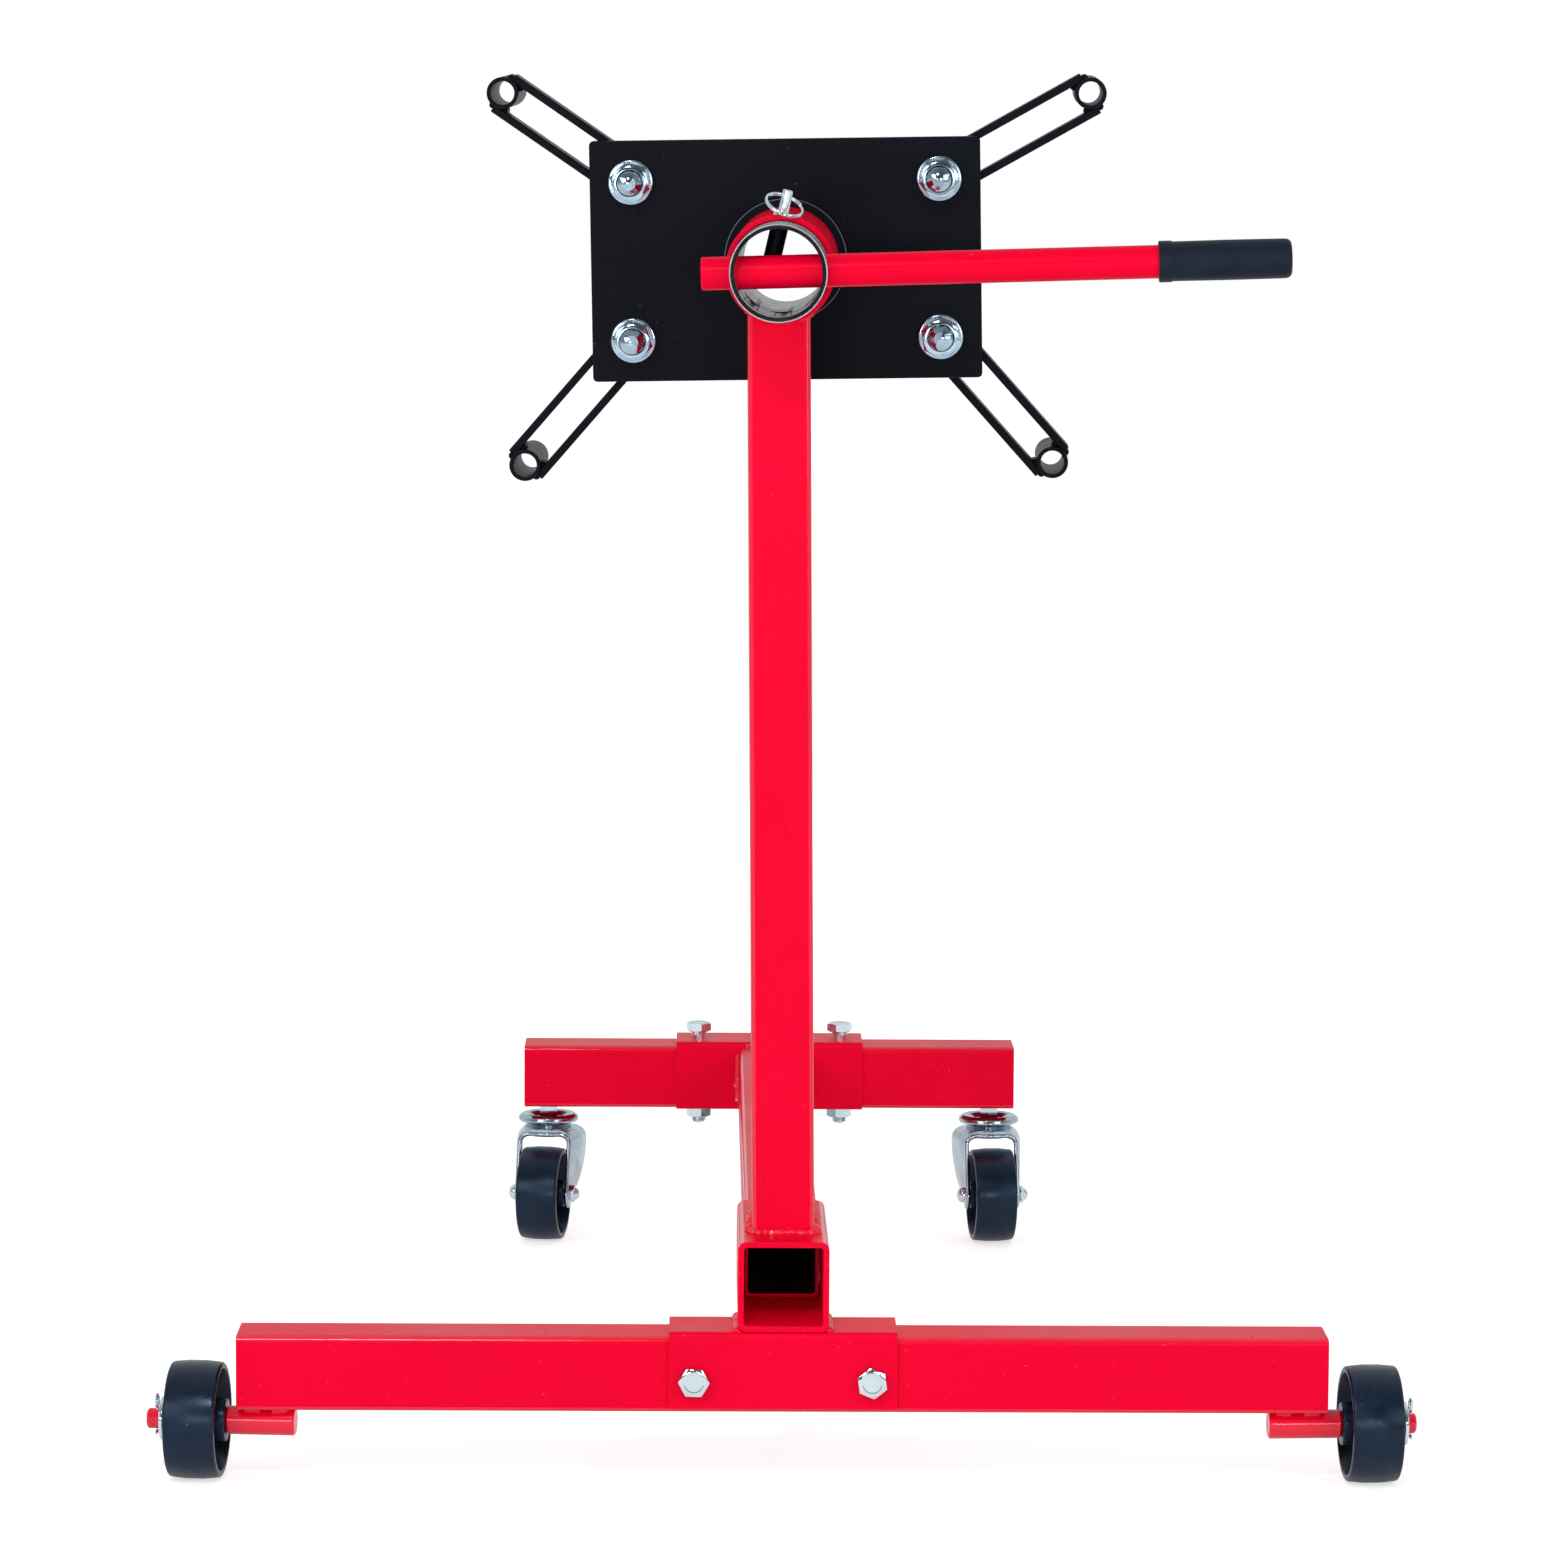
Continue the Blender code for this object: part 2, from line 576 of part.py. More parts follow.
# Front wheels on stub axles under the long crossbar, each welded on a little askew
def build_front_wheels():
    for side, sign in LEFT_RIGHT:
        inner_end = LONG_BAR_LENGTH / 2 - AXLE_UNDER_BAR
        wheel_x = LONG_BAR_LENGTH / 2 + WHEEL_FROM_BAR[side] + WHEEL_WIDTH / 2
        shoulder = wheel_x - WHEEL_WIDTH / 2 - WHEEL_HUB_INWARD - WHEEL_GAP
        washer_inner = wheel_x + WHEEL_WIDTH / 2 + WHEEL_HUB_OUTWARD + WHEEL_GAP
        washer_outer = washer_inner + WASHER_THICKNESS
        axle_end = LONG_BAR_LENGTH / 2 + AXLE_PAST_BAR
        toe = AXLE_TOE[side]
        turning_point = inner_end + AXLE_UNDER_BAR / 2
        reach = (axle_end - turning_point) * math.cos(toe) + AXLE_JOURNAL / 2 * math.sin(toe)
        carrier_at = (sign * (axle_end - reach), -AXLE_FORWARD, WHEEL_RADIUS)
        carrier = empty(f"front_wheel_{side}_axis", stand, carrier_at, (0, 0, sign * toe))
        axle_at = (-sign * turning_point, 0, 0)
        stub_ends = sorted((sign * inner_end, sign * shoulder))
        mesh = cylinder(f"axle_{side}", AXLE_DIAMETER, *stub_ends, "X")
        axle = place(f"axle_{side}", mesh, RED, carrier, axle_at)
        journal_ends = sorted((sign * (inner_end + AXLE_UNDER_BAR), sign * axle_end))
        join(axle, cylinder("journal", AXLE_JOURNAL, *journal_ends, "X", ROUND_MEDIUM), axle_at)
        cotter_at = (sign * (washer_outer + COTTER_FROM_WASHER - turning_point), 0, 0)
        hole(axle, COTTER_WIRE + 2 * HOLE_GAP, -AXLE_DIAMETER, AXLE_DIAMETER, "Z", cotter_at)
        bore = AXLE_JOURNAL + 2 * RUNNING_GAP
        profile = wheel_profile(WHEEL_RADIUS, WHEEL_WIDTH, WHEEL_RIM, WHEEL_HUB, bore)
        for number, (across, along) in enumerate(profile):
            if across <= WHEEL_HUB and along * sign > WHEEL_WEB:
                profile[number] = (across, along + sign * WHEEL_HUB_OUTWARD)
            elif across <= WHEEL_HUB and along * sign < -WHEEL_WEB:
                profile[number] = (across, along - sign * WHEEL_HUB_INWARD)
        mesh = turned(f"front_wheel_{side}", profile, "X", WHEEL_SIDES)
        place(f"front_wheel_{side}", mesh, WHEEL, carrier, (sign * (wheel_x - turning_point), 0, 0))
        washer_ends = sorted((sign * washer_inner, sign * washer_outer))
        mesh = ring(f"wheel_washer_{side}", bore, WASHER_DIAMETER, *washer_ends, "X")
        place(f"wheel_washer_{side}", mesh, ZINC, carrier, axle_at)
        tail = AXLE_JOURNAL / 2 + COTTER_TAIL
        mesh = cylinder(f"cotter_pin_{side}", COTTER_WIRE, -tail, tail, "Z", ROUND_SMALL)
        cotter = place(f"cotter_pin_{side}", mesh, ZINC, carrier, cotter_at)
        half_wire = COTTER_WIRE / 2
        eye_sizes = (2 * (COTTER_EYE - half_wire), 2 * (COTTER_EYE + half_wire), -half_wire, half_wire)
        eye_at = (cotter_at[0], 0, tail + COTTER_EYE - half_wire / 2)
        join(cotter, ring("eye", *eye_sizes, "X", ROUND_SMALL), eye_at)


# Swivel casters under the short crossbar
def build_casters():
    for side, sign in LEFT_RIGHT:
        swivel = empty(f"caster_{side}_axis", stand, (sign * CASTER_X, BAR_SPACING, 0))
        hex_top = BEAM_BOTTOM - SEAT_GAP
        cap_top = hex_top - STEM_HEX
        cap_bottom = cap_top - CAP_HEIGHT
        plate_top = cap_bottom - RUNNING_GAP
        plate_bottom = plate_top - FORK_PLATE
        stem_foot = plate_bottom - RUNNING_GAP
        mesh = hexagon(f"caster_{side}_stem", STEM_FLATS, cap_top, hex_top, "Z")
        stem = place(f"caster_{side}_stem", mesh, ZINC, swivel)
        stem_top = BEAM_BOTTOM + STEM_IN_BAR
        stem_rod = cylinder("rod", STEM_DIAMETER, stem_foot - STEM_HEAD / 2, stem_top, "Z", ROUND_SMALL)
        join(stem, stem_rod)
        stem_head = cylinder("head", STEM_HEAD_DIAMETER, stem_foot - STEM_HEAD, stem_foot, "Z", ROUND_SMALL)
        join(stem, stem_head)
        bore = STEM_DIAMETER + 2 * HOLE_GAP
        profile = [
            (bore / 2, cap_bottom),
            (CAP_DIAMETER / 2 - CAP_RIM / 2, cap_bottom),
            (CAP_DIAMETER / 2, cap_bottom + CAP_RIM / 2),
            (CAP_DIAMETER / 2, cap_bottom + CAP_RIM),
            (CAP_DIAMETER / 2 - CAP_RIM, cap_top - CAP_RIM / 2),
            (STEM_FLATS, cap_top - SEAT_GAP),
            (bore / 2, cap_top - SEAT_GAP),
        ]
        place(f"caster_{side}_cap", turned(f"caster_{side}_cap", profile, "Z", ROUND_MEDIUM), ZINC, swivel)
        carrier = empty(f"caster_{side}_fork_axis", swivel, rotation=(0, 0, CASTER_SWIVEL[side]))
        build_fork(side, carrier, plate_top, plate_bottom, bore)


def build_fork(side, carrier, plate_top, plate_bottom, bore):
    """The fork that turns under the cap, with its wheel, axle bolt and nut."""
    half = CASTER_WHEEL_WIDTH / 2 + FORK_SIDE_GAP
    outer = half + FORK_LEG
    disc = ring(f"caster_{side}_fork", bore, FORK_DIAMETER, plate_bottom, plate_top, "Z")
    fork = place(f"caster_{side}_fork", disc, ZINC, carrier)
    axle = (0, -CASTER_TRAIL, CASTER_WHEEL_RADIUS)
    for name, sign in LEFT_RIGHT:
        leg = extruded(f"leg_{name}", [leg_outline(plate_top)], FORK_LEG, "X")
        join(fork, leg, (sign * (half + FORK_LEG / 2), 0, 0))
    bolt_hole = CASTER_BOLT_DIAMETER + 2 * HOLE_GAP
    hole(fork, bolt_hole, -outer, outer, "X", axle)
    wheel_sizes = (CASTER_WHEEL_RADIUS, CASTER_WHEEL_WIDTH, CASTER_WHEEL_RIM, CASTER_WHEEL_HUB)
    mesh = turned(f"caster_{side}_wheel", wheel_profile(*wheel_sizes, bolt_hole), "X", WHEEL_SIDES)
    place(f"caster_{side}_wheel", mesh, WHEEL, carrier, axle)
    head = -outer - SEAT_GAP
    reach = outer + SEAT_GAP + CASTER_NUT_HEIGHT + HOLE_GAP
    mesh = cylinder(
        f"caster_{side}_axle",
        CASTER_BOLT_HEAD_DIAMETER / 2,
        head - CASTER_BOLT_HEAD,
        head,
        "X",
        ROUND_SMALL,
        CASTER_BOLT_HEAD_DIAMETER,
    )
    bolt = place(f"caster_{side}_axle", mesh, ZINC, carrier, axle)
    shank_start = head - CASTER_BOLT_HEAD / 2
    join(bolt, cylinder("shank", CASTER_BOLT_DIAMETER, shank_start, reach, "X", ROUND_SMALL), axle)
    nut_sizes = (CASTER_BOLT_DIAMETER, CASTER_NUT_FLATS, CASTER_NUT_HEIGHT)
    nut_at = (outer + SEAT_GAP, axle[1], axle[2])
    hex_nut(f"caster_{side}_nut", *nut_sizes, "X", ZINC, carrier, nut_at)


def leg_outline(top):
    """A fork leg seen from the side, as (Y, Z): wide at the top, narrowing to a round foot at the axle."""
    axle = Vector((-CASTER_TRAIL, CASTER_WHEEL_RADIUS))
    points = [(FORK_LEG_TOP / 2, top), (-FORK_LEG_TOP / 2, top)]
    for step in range(ROUND_SMALL // 2 + 1):
        turn = math.pi + step * 2 * math.pi / ROUND_SMALL
        points.append(tuple(axle + FORK_FOOT * Vector((math.cos(turn), math.sin(turn)))))
    start = Vector(points[-1])
    end = Vector(points[0])
    bend = Vector((end.x - FORK_FOOT / 2, (start.y + end.y) / 2))
    for step in range(1, BEND_STEPS):
        t = step / BEND_STEPS
        points.append(tuple((1 - t) ** 2 * start + 2 * t * (1 - t) * bend + t * t * end))
    return points


# Post, which leans a little to the left, and its collar, welded on a little askew
def build_post():
    top = HEAD_HEIGHT - COLLAR_OUTER / 2
    bottom = SOCKET_TOP + SEAT_GAP
    outline = tube_outline(POST_WIDTH, POST_DEPTH, POST_WALL, BAR_CORNER)
    mesh = extruded("post", outline, top - bottom, "Z")
    for vertex in mesh.vertices:
        vertex.co.x -= (vertex.co.z + (top - bottom) / 2) * math.tan(POST_LEAN)
    post = place("post", mesh, RED, stand, (0, POST_Y, (top + bottom) / 2))
    seat_diameter = 2 * (COLLAR_OUTER + SEAT_GAP)
    collar_seat = cylinder("collar_seat", seat_diameter, -COLLAR_FRONT, COLLAR_FRONT, "Y", ROUND_LARGE)
    cut(post, collar_seat, (HEAD_X, HEAD_Y, HEAD_HEIGHT), HEAD_TURNS)
    tilt = empty("head_tilt", stand, (HEAD_X, HEAD_Y, HEAD_HEIGHT), HEAD_TURNS)
    collar_sizes = (2 * COLLAR_INNER, 2 * COLLAR_OUTER, -COLLAR_FRONT, COLLAR_BACK)
    mesh = ring("pivot_collar", *collar_sizes, "Y", ROUND_LARGE)
    collar = place("pivot_collar", mesh, RED, tilt)
    pin_y = -COLLAR_FRONT + PIN_FROM_FRONT
    pin_hole = PIN_DIAMETER + 2 * HOLE_GAP
    wall = COLLAR_OUTER - PIPE_RADIUS
    drill = cylinder("pin_hole", pin_hole, -wall, 2 * wall, "Z", ROUND_SMALL)
    cut(collar, drill, (0, pin_y, PIPE_RADIUS), (0, PIN_LEAN, 0))
    build_lock_pin(empty("lock_pin_axis", tilt, (0, pin_y, PIPE_RADIUS), (0, PIN_LEAN, 0)))
    return tilt


def build_lock_pin(carrier):
    """The pin stands askew in the collar's wall, clear of the pipe, with its pull ring through its eye."""
    foot = RUNNING_GAP + PIN_DIAMETER / 2 * math.sin(PIN_LEAN)
    top = COLLAR_OUTER - PIPE_RADIUS + PIN_PROUD
    eye = top - PIN_EYE_BELOW_TOP
    mesh = cylinder("lock_pin", PIN_DIAMETER, foot, top, "Z", ROUND_SMALL)
    pin = place("lock_pin", mesh, ZINC, carrier)
    hole(pin, PIN_EYE_DIAMETER, -PIN_DIAMETER, PIN_DIAMETER, "X", (0, 0, eye))
    hanger = empty("lock_ring_axis", carrier, (0, 0, eye), (RING_SLOPE, 0, 0))
    bpy.ops.mesh.primitive_torus_add(
        major_radius=RING_RADIUS, minor_radius=RING_WIRE / 2, major_segments=ROUND_MEDIUM, minor_segments=8
    )
    made = bpy.context.object
    mesh = made.data
    mesh.name = "lock_ring"
    bpy.data.objects.remove(made)
    mesh.transform(Matrix.Translation((0, -RING_RADIUS, 0)))
    place("lock_ring", mesh, ZINC, hanger)


# Pipe, flange ring and mounting plate, which turn as one
def build_head(tilt):
    head = empty("head_axis", tilt, rotation=(0, HEAD_ROLL, 0))
    pipe_sizes = (PIPE_DIAMETER - 2 * PIPE_WALL, PIPE_DIAMETER, PIPE_NEAR, PLATE_FAR)
    mesh = ring("rotating_pipe", *pipe_sizes, "Y", ROUND_LARGE)
    pipe = place("rotating_pipe", mesh, STEEL, head)
    pin_y = -COLLAR_FRONT + PIN_FROM_FRONT
    pin_hole = PIN_DIAMETER + 2 * PIN_PLAY
    reach = PIPE_RADIUS + CUT_PAST
    for number in range(LOCK_HOLES // 2):
        turn = number * 2 * math.pi / LOCK_HOLES
        drill = cylinder(f"lock_hole_{number}", pin_hole, -reach, reach, "Z", ROUND_SMALL)
        cut(pipe, drill, (0, pin_y, 0), (0, turn, 0))
    handle_y = PIPE_NEAR + HANDLE_FROM_RIM
    slide_hole = cylinder("handle_hole", HANDLE_DIAMETER + 2 * RUNNING_GAP, -reach, reach, "X")
    cut(pipe, slide_hole, (0, handle_y, 0), (0, HANDLE_ROLL - HEAD_ROLL, 0))
    bore = PIPE_DIAMETER + 2 * SEAT_GAP
    flange_ends = (FLANGE_NEAR, FLANGE_NEAR + FLANGE_THICKNESS)
    mesh = ring("plate_flange", bore, FLANGE_DIAMETER, *flange_ends, "Y", ROUND_LARGE)
    place("plate_flange", mesh, BLACK, head)
    outline = [rounded_rectangle(PLATE_WIDTH, PLATE_HEIGHT, PLATE_CORNER)]
    plate_at = (0, (PLATE_NEAR + PLATE_FAR) / 2, 0)
    mesh = extruded("mounting_plate", outline, PLATE_THICKNESS, "Y")
    plate = place("mounting_plate", mesh, BLACK, head, plate_at)
    centre_hole = cylinder("centre_hole", bore, -PLATE_THICKNESS, PLATE_THICKNESS, "Y", ROUND_LARGE)
    cut(plate, centre_hole, plate_at)
    for side, rise, _, _ in ARMS.values():
        at = (side * PLATE_BOLTS_WIDE / 2, 0, rise * PLATE_BOLTS_HIGH / 2)
        hole(plate, ARM_BOLT_DIAMETER + 2 * HOLE_GAP, PLATE_NEAR, PLATE_FAR, "Y", at)
    return head


# Turning handle, which slides through the pipe's front end
def build_handle(tilt):
    carrier = empty("handle_axis", tilt, (0, PIPE_NEAR + HANDLE_FROM_RIM, 0), (0, HANDLE_ROLL, 0))
    mesh = cylinder("handle_bar", HANDLE_DIAMETER, -HANDLE_LEFT, HANDLE_RIGHT, "X")
    place("handle_bar", mesh, RED, carrier)
    inner = HANDLE_DIAMETER / 2 + SEAT_GAP
    outer = GRIP_DIAMETER / 2
    end = HANDLE_RIGHT + SEAT_GAP + GRIP_CAP
    start = end - GRIP_LENGTH
    profile = [
        (inner, start),
        (outer + GRIP_LIP, start),
        (outer + GRIP_LIP, start + GRIP_CAP),
        (outer, start + 2 * GRIP_CAP),
        (outer, end - GRIP_CAP),
        (outer - GRIP_CAP / 2, end - GRIP_EDGE),
        (outer - GRIP_CAP, end),
        (GRIP_END_HOLE / 2, end),
        (GRIP_END_HOLE / 2, HANDLE_RIGHT + SEAT_GAP),
        (inner, HANDLE_RIGHT + SEAT_GAP),
    ]
    place("handle_grip", turned("handle_grip", profile, "X", ROUND_MEDIUM), GRIP, carrier)


# Four slotted arms, each with its boss, bolt, washer and nut
def build_arms(head):
    for name, (side, rise, reach, slope) in ARMS.items():
        at = (side * PLATE_BOLTS_WIDE / 2, 0, rise * PLATE_BOLTS_HIGH / 2)
        swing = -rise * slope if side > 0 else math.pi + rise * slope
        carrier = empty(f"arm_{name}_axis", head, at, (0, swing, 0))
        build_arm(name, reach, carrier)
        bolt_y = ARM_FAR + SEAT_GAP
        washer_far = PLATE_NEAR - SEAT_GAP
        washer_near = washer_far - ARM_WASHER_THICKNESS
        nut_y = washer_near - SEAT_GAP
        length = bolt_y - nut_y + ARM_NUT_HEIGHT + ARM_BOLT_TAIL
        sizes = (ARM_BOLT_DIAMETER, ARM_BOLT_FLATS, ARM_BOLT_HEAD, length)
        hex_bolt(f"arm_bolt_{name}", *sizes, "Y", ZINC, carrier, (0, bolt_y, 0))
        bore = ARM_BOLT_DIAMETER + 2 * HOLE_GAP
        mesh = ring(f"arm_washer_{name}", bore, ARM_WASHER_DIAMETER, washer_near, washer_far, "Y")
        place(f"arm_washer_{name}", mesh, ZINC, carrier)
        nut_sizes = (ARM_BOLT_DIAMETER, ARM_BOLT_FLATS, -ARM_NUT_HEIGHT)
        hex_nut(f"arm_nut_{name}", *nut_sizes, "Y", ZINC, carrier, (0, nut_y, 0))


def build_arm(name, reach, carrier):
    """Two bars on edge from tail to boss, a spacer at the tail and the boss tube across the far end."""
    inner = ARM_SLOT / 2
    outer = inner + ARM_BAR_THICKNESS
    bar = block(f"arm_{name}", (-ARM_TAIL, ARM_NEAR, inner), (reach, ARM_FAR, outer))
    arm = place(f"arm_{name}", bar, BLACK, carrier)
    join(arm, block("second_bar", (-ARM_TAIL, ARM_NEAR, -outer), (reach, ARM_FAR, -inner)))
    weld = ARM_BAR_THICKNESS / 2
    spacer_low = (-ARM_TAIL, ARM_NEAR + weld, -inner - weld)
    join(arm, block("spacer", spacer_low, (-ARM_TAIL + ARM_SPACER, ARM_FAR - weld, inner + weld)))
    boss_ends = (ARM_NEAR - BOSS_NEAR_LIP, ARM_NEAR - BOSS_NEAR_LIP + BOSS_LENGTH)
    join(arm, cylinder("boss", BOSS_DIAMETER, *boss_ends, "Y"), (reach, 0, 0))
    hole(arm, BOSS_DIAMETER - 2 * BOSS_WALL, *boss_ends, "Y", (reach, 0, 0))


build_front_crossbar()
build_socket_and_beam()
build_rear_crossbar()
build_front_wheels()
build_casters()
head_tilt = build_post()
build_arms(build_head(head_tilt))
build_handle(head_tilt)
bpy.context.view_layer.update()
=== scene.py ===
import json
import math
import random

import bmesh
import bpy
from mathutils import Matrix, Vector

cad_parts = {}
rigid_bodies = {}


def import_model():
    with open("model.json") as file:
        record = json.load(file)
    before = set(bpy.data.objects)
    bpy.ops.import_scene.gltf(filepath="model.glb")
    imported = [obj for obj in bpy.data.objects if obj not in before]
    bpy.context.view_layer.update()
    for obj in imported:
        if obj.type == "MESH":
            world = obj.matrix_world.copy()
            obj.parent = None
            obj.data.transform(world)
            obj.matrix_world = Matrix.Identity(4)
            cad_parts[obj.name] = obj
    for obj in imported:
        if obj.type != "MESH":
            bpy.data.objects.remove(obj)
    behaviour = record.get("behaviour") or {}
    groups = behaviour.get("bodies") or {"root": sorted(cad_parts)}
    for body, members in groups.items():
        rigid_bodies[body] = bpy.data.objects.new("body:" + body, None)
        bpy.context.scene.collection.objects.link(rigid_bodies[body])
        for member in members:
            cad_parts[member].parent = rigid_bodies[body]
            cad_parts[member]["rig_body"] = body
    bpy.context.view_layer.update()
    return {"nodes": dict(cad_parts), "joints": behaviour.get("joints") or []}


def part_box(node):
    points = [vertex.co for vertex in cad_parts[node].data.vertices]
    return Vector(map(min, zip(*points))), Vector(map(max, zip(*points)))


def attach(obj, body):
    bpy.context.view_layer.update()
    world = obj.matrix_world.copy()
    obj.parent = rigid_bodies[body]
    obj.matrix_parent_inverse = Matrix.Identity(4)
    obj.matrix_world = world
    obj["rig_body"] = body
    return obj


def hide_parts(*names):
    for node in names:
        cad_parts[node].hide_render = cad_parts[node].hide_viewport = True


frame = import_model()

# Long front crossbar: 50 mm square steel tube with rounded corners, sawn square at both ends.
# It is sprayed red all over, and the paint runs thick and glossy along its round corners.
X_AXIS, Y_AXIS, Z_AXIS = Vector((1, 0, 0)), Vector((0, 1, 0)), Vector((0, 0, 1))
BASE = "base"
TUBE_WALL = 0.003
TUBE_CORNER = 0.0048
SAWN_EDGE = 0.0006
ARC_STEPS = 5
ARC_LIMIT = 0.48
FLAT_CORNER = math.radians(172)
CRISP = math.radians(36)
BROKEN_FROM = math.radians(42)
BROKEN_STEPS = 3
ROUND_PART = 0.985
RED = (0.90, 0.0007, 0.034, 1)
RED_DEEP = (0.83, 0.0005, 0.027, 1)
RED_THIN = (0.90, 0.035, 0.060, 1)
PAINT_DUST = (0.62, 0.30, 0.30, 1)
# Inside colours of tubes, near black: painted shade for the dark in their bores, with drifts of overspray as
# dark.
BORE_SHADE = (0.016, 0.0020, 0.0035, 1)
OVERSPRAY_IN_SHADE = (0.075, 0.0010, 0.0040, 1)
NOISE_MIDDLE = (0.3, 0.7)
DRIFT_RAGGED = 0.6
SPECK_RARE, SPECK_GAIN, SPECK_SOFT = 0.86, 0.3, 0.06
EDGE_TURN, EDGE_BREAKS = (0.985, 0.86), (0.35, 0.65)
PEEL_DEPTH = 0.0004


def eased(corners):
    """A closed outline of (across, up) points from corners given as (across, up, radius)."""
    outline = []
    for number, (across, up, radius) in enumerate(corners):
        corner = Vector((across, up))
        back = Vector(corners[number - 1][:2]) - corner
        ahead = Vector(corners[(number + 1) % len(corners)][:2]) - corner
        bend = back.angle(ahead)
        if radius <= 0 or bend > FLAT_CORNER:
            outline.append(corner)
            continue
        cut = min(radius / math.tan(bend / 2), ARC_LIMIT * back.length, ARC_LIMIT * ahead.length)
        start = corner + back.normalized() * cut
        end = corner + ahead.normalized() * cut
        for step in range(ARC_STEPS + 1):
            t = step / ARC_STEPS
            outline.append((1 - t) ** 2 * start + 2 * t * (1 - t) * corner + t * t * end)
    return outline


def box_outline(width, height, radius):
    """A rectangle with round corners, centred."""
    x, y = width / 2, height / 2
    return eased([(x, y, radius), (-x, y, radius), (-x, -y, radius), (x, -y, radius)])


def skin(shape, near, far, finish=0):
    """Faces between two loops of points, either of which may be a single point."""
    count = max(len(near), len(far))
    for here in range(count):
        there = (here + 1) % count
        near_side = (near[here % len(near)], near[there % len(near)])
        far_side = (far[there % len(far)], far[here % len(far)])
        shape.faces.new(dict.fromkeys(near_side + far_side)).material_index = finish


def bar_shape(outline, low, high, bore=None):
    """A straight bar along local Z, hollow where the bore's outline, of as many points, is given."""
    shape = bmesh.new()
    ends = [(outline, low), (outline, high)]
    if bore:
        ends += [(bore, high), (bore, low)]
    loops = [[shape.verts.new((point[0], point[1], height)) for point in points] for points, height in ends]
    skin(shape, loops[0], loops[1])
    if bore:
        skin(shape, loops[1], loops[2])
        skin(shape, loops[2], loops[3], 1)
        skin(shape, loops[3], loops[0])
    else:
        shape.faces.new(loops[0])
        shape.faces.new(loops[1])
    return shape


def aimed(at, along, side):
    """The place whose local Z points along a direction and whose local X points to a side."""
    z = Vector(along).normalized()
    y = z.cross(Vector(side)).normalized()
    return Matrix.Translation(at) @ Matrix((y.cross(z), y, z)).transposed().to_4x4()


def piece_of(name, shape, place=Matrix.Identity(4), edge=0.0):
    """A smooth piece from a shape, with its sharp edges broken by a small round."""
    shape.transform(place)
    bmesh.ops.recalc_face_normals(shape, faces=shape.faces)
    mesh = bpy.data.meshes.new(name)
    shape.to_mesh(mesh)
    shape.free()
    mesh.shade_smooth()
    piece = bpy.data.objects.new(name, mesh)
    bpy.context.scene.collection.objects.link(piece)
    if edge:
        rounding = piece.modifiers.new("broken_edges", "BEVEL")
        rounding.width = edge
        rounding.segments = BROKEN_STEPS
        rounding.limit_method = "ANGLE"
        rounding.angle_limit = BROKEN_FROM
    else:
        mesh.set_sharp_from_angle(angle=CRISP)
    flats = piece.modifiers.new("even_flats", "WEIGHTED_NORMAL")
    flats.keep_sharp = True
    return piece


def stands_for(piece, finish, node, inside=None):
    """Gives a piece its finish, and a tube those of its bore and round corners; it stands for its solid."""
    for layer in (finish, inside, red_gloss) if inside else (finish,):
        piece.data.materials.append(layer)
    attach(piece, frame["nodes"][node]["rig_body"])
    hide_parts(node)


def goes_on(piece, finish, body):
    """Gives an added piece its finish and fixes it to a body."""
    piece.data.materials.append(finish)
    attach(piece, body)


def gloss_corners(tube):
    """Gives a tube's round corners the third of its finishes."""
    for face in tube.data.polygons:
        if face.material_index == 0 and max(abs(part) for part in face.normal) < ROUND_PART:
            face.material_index = 2


def square_tube(name, node, along, side, wall, corner):
    """A round-cornered tube as large as its solid, along one axis."""
    low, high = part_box(node)
    size = high - low
    length = abs(size.dot(along))
    width = abs(size.dot(side))
    height = abs(size.dot(along.cross(side)))
    outline = box_outline(width, height, corner)
    bore = box_outline(width - 2 * wall, height - 2 * wall, max(corner - wall, wall / 3))
    place = aimed((low + high) / 2, along, side)
    tube = piece_of(name, bar_shape(outline, -length / 2, length / 2, bore), place, SAWN_EDGE)
    gloss_corners(tube)
    return tube


def feed(tree, socket, value):
    """Joins a socket to another node's output, or sets it to a plain value."""
    if isinstance(value, bpy.types.NodeSocket):
        tree.links.new(value, socket)
    else:
        socket.default_value = value


def put(tree, kind, **sockets):
    """A shader node with its sockets set to values or joined to other nodes."""
    made = tree.nodes.new(kind)
    for name, value in sockets.items():
        feed(tree, made.inputs[name.replace("_", " ")], value)
    return made


def sums(tree, operation, first, second):
    """One step of arithmetic on two numbers or outputs."""
    made = tree.nodes.new("ShaderNodeMath")
    made.operation = operation
    feed(tree, made.inputs[0], first)
    feed(tree, made.inputs[1], second)
    return made.outputs[0]


def ranged(tree, value, low, high, to_low=0.0, to_high=1.0):
    """A value stretched from one range to another and held at its ends."""
    ends = {"From_Min": low, "From_Max": high, "To_Min": to_low, "To_Max": to_high}
    return put(tree, "ShaderNodeMapRange", Value=value, **ends).outputs["Result"]


def tinted(tree, share, first, second):
    """The first colour, with a share of the second mixed in."""
    made = tree.nodes.new("ShaderNodeMix")
    made.data_type = "RGBA"
    feed(tree, made.inputs[0], share)
    feed(tree, made.inputs[6], first)
    feed(tree, made.inputs[7], second)
    return made.outputs[2]


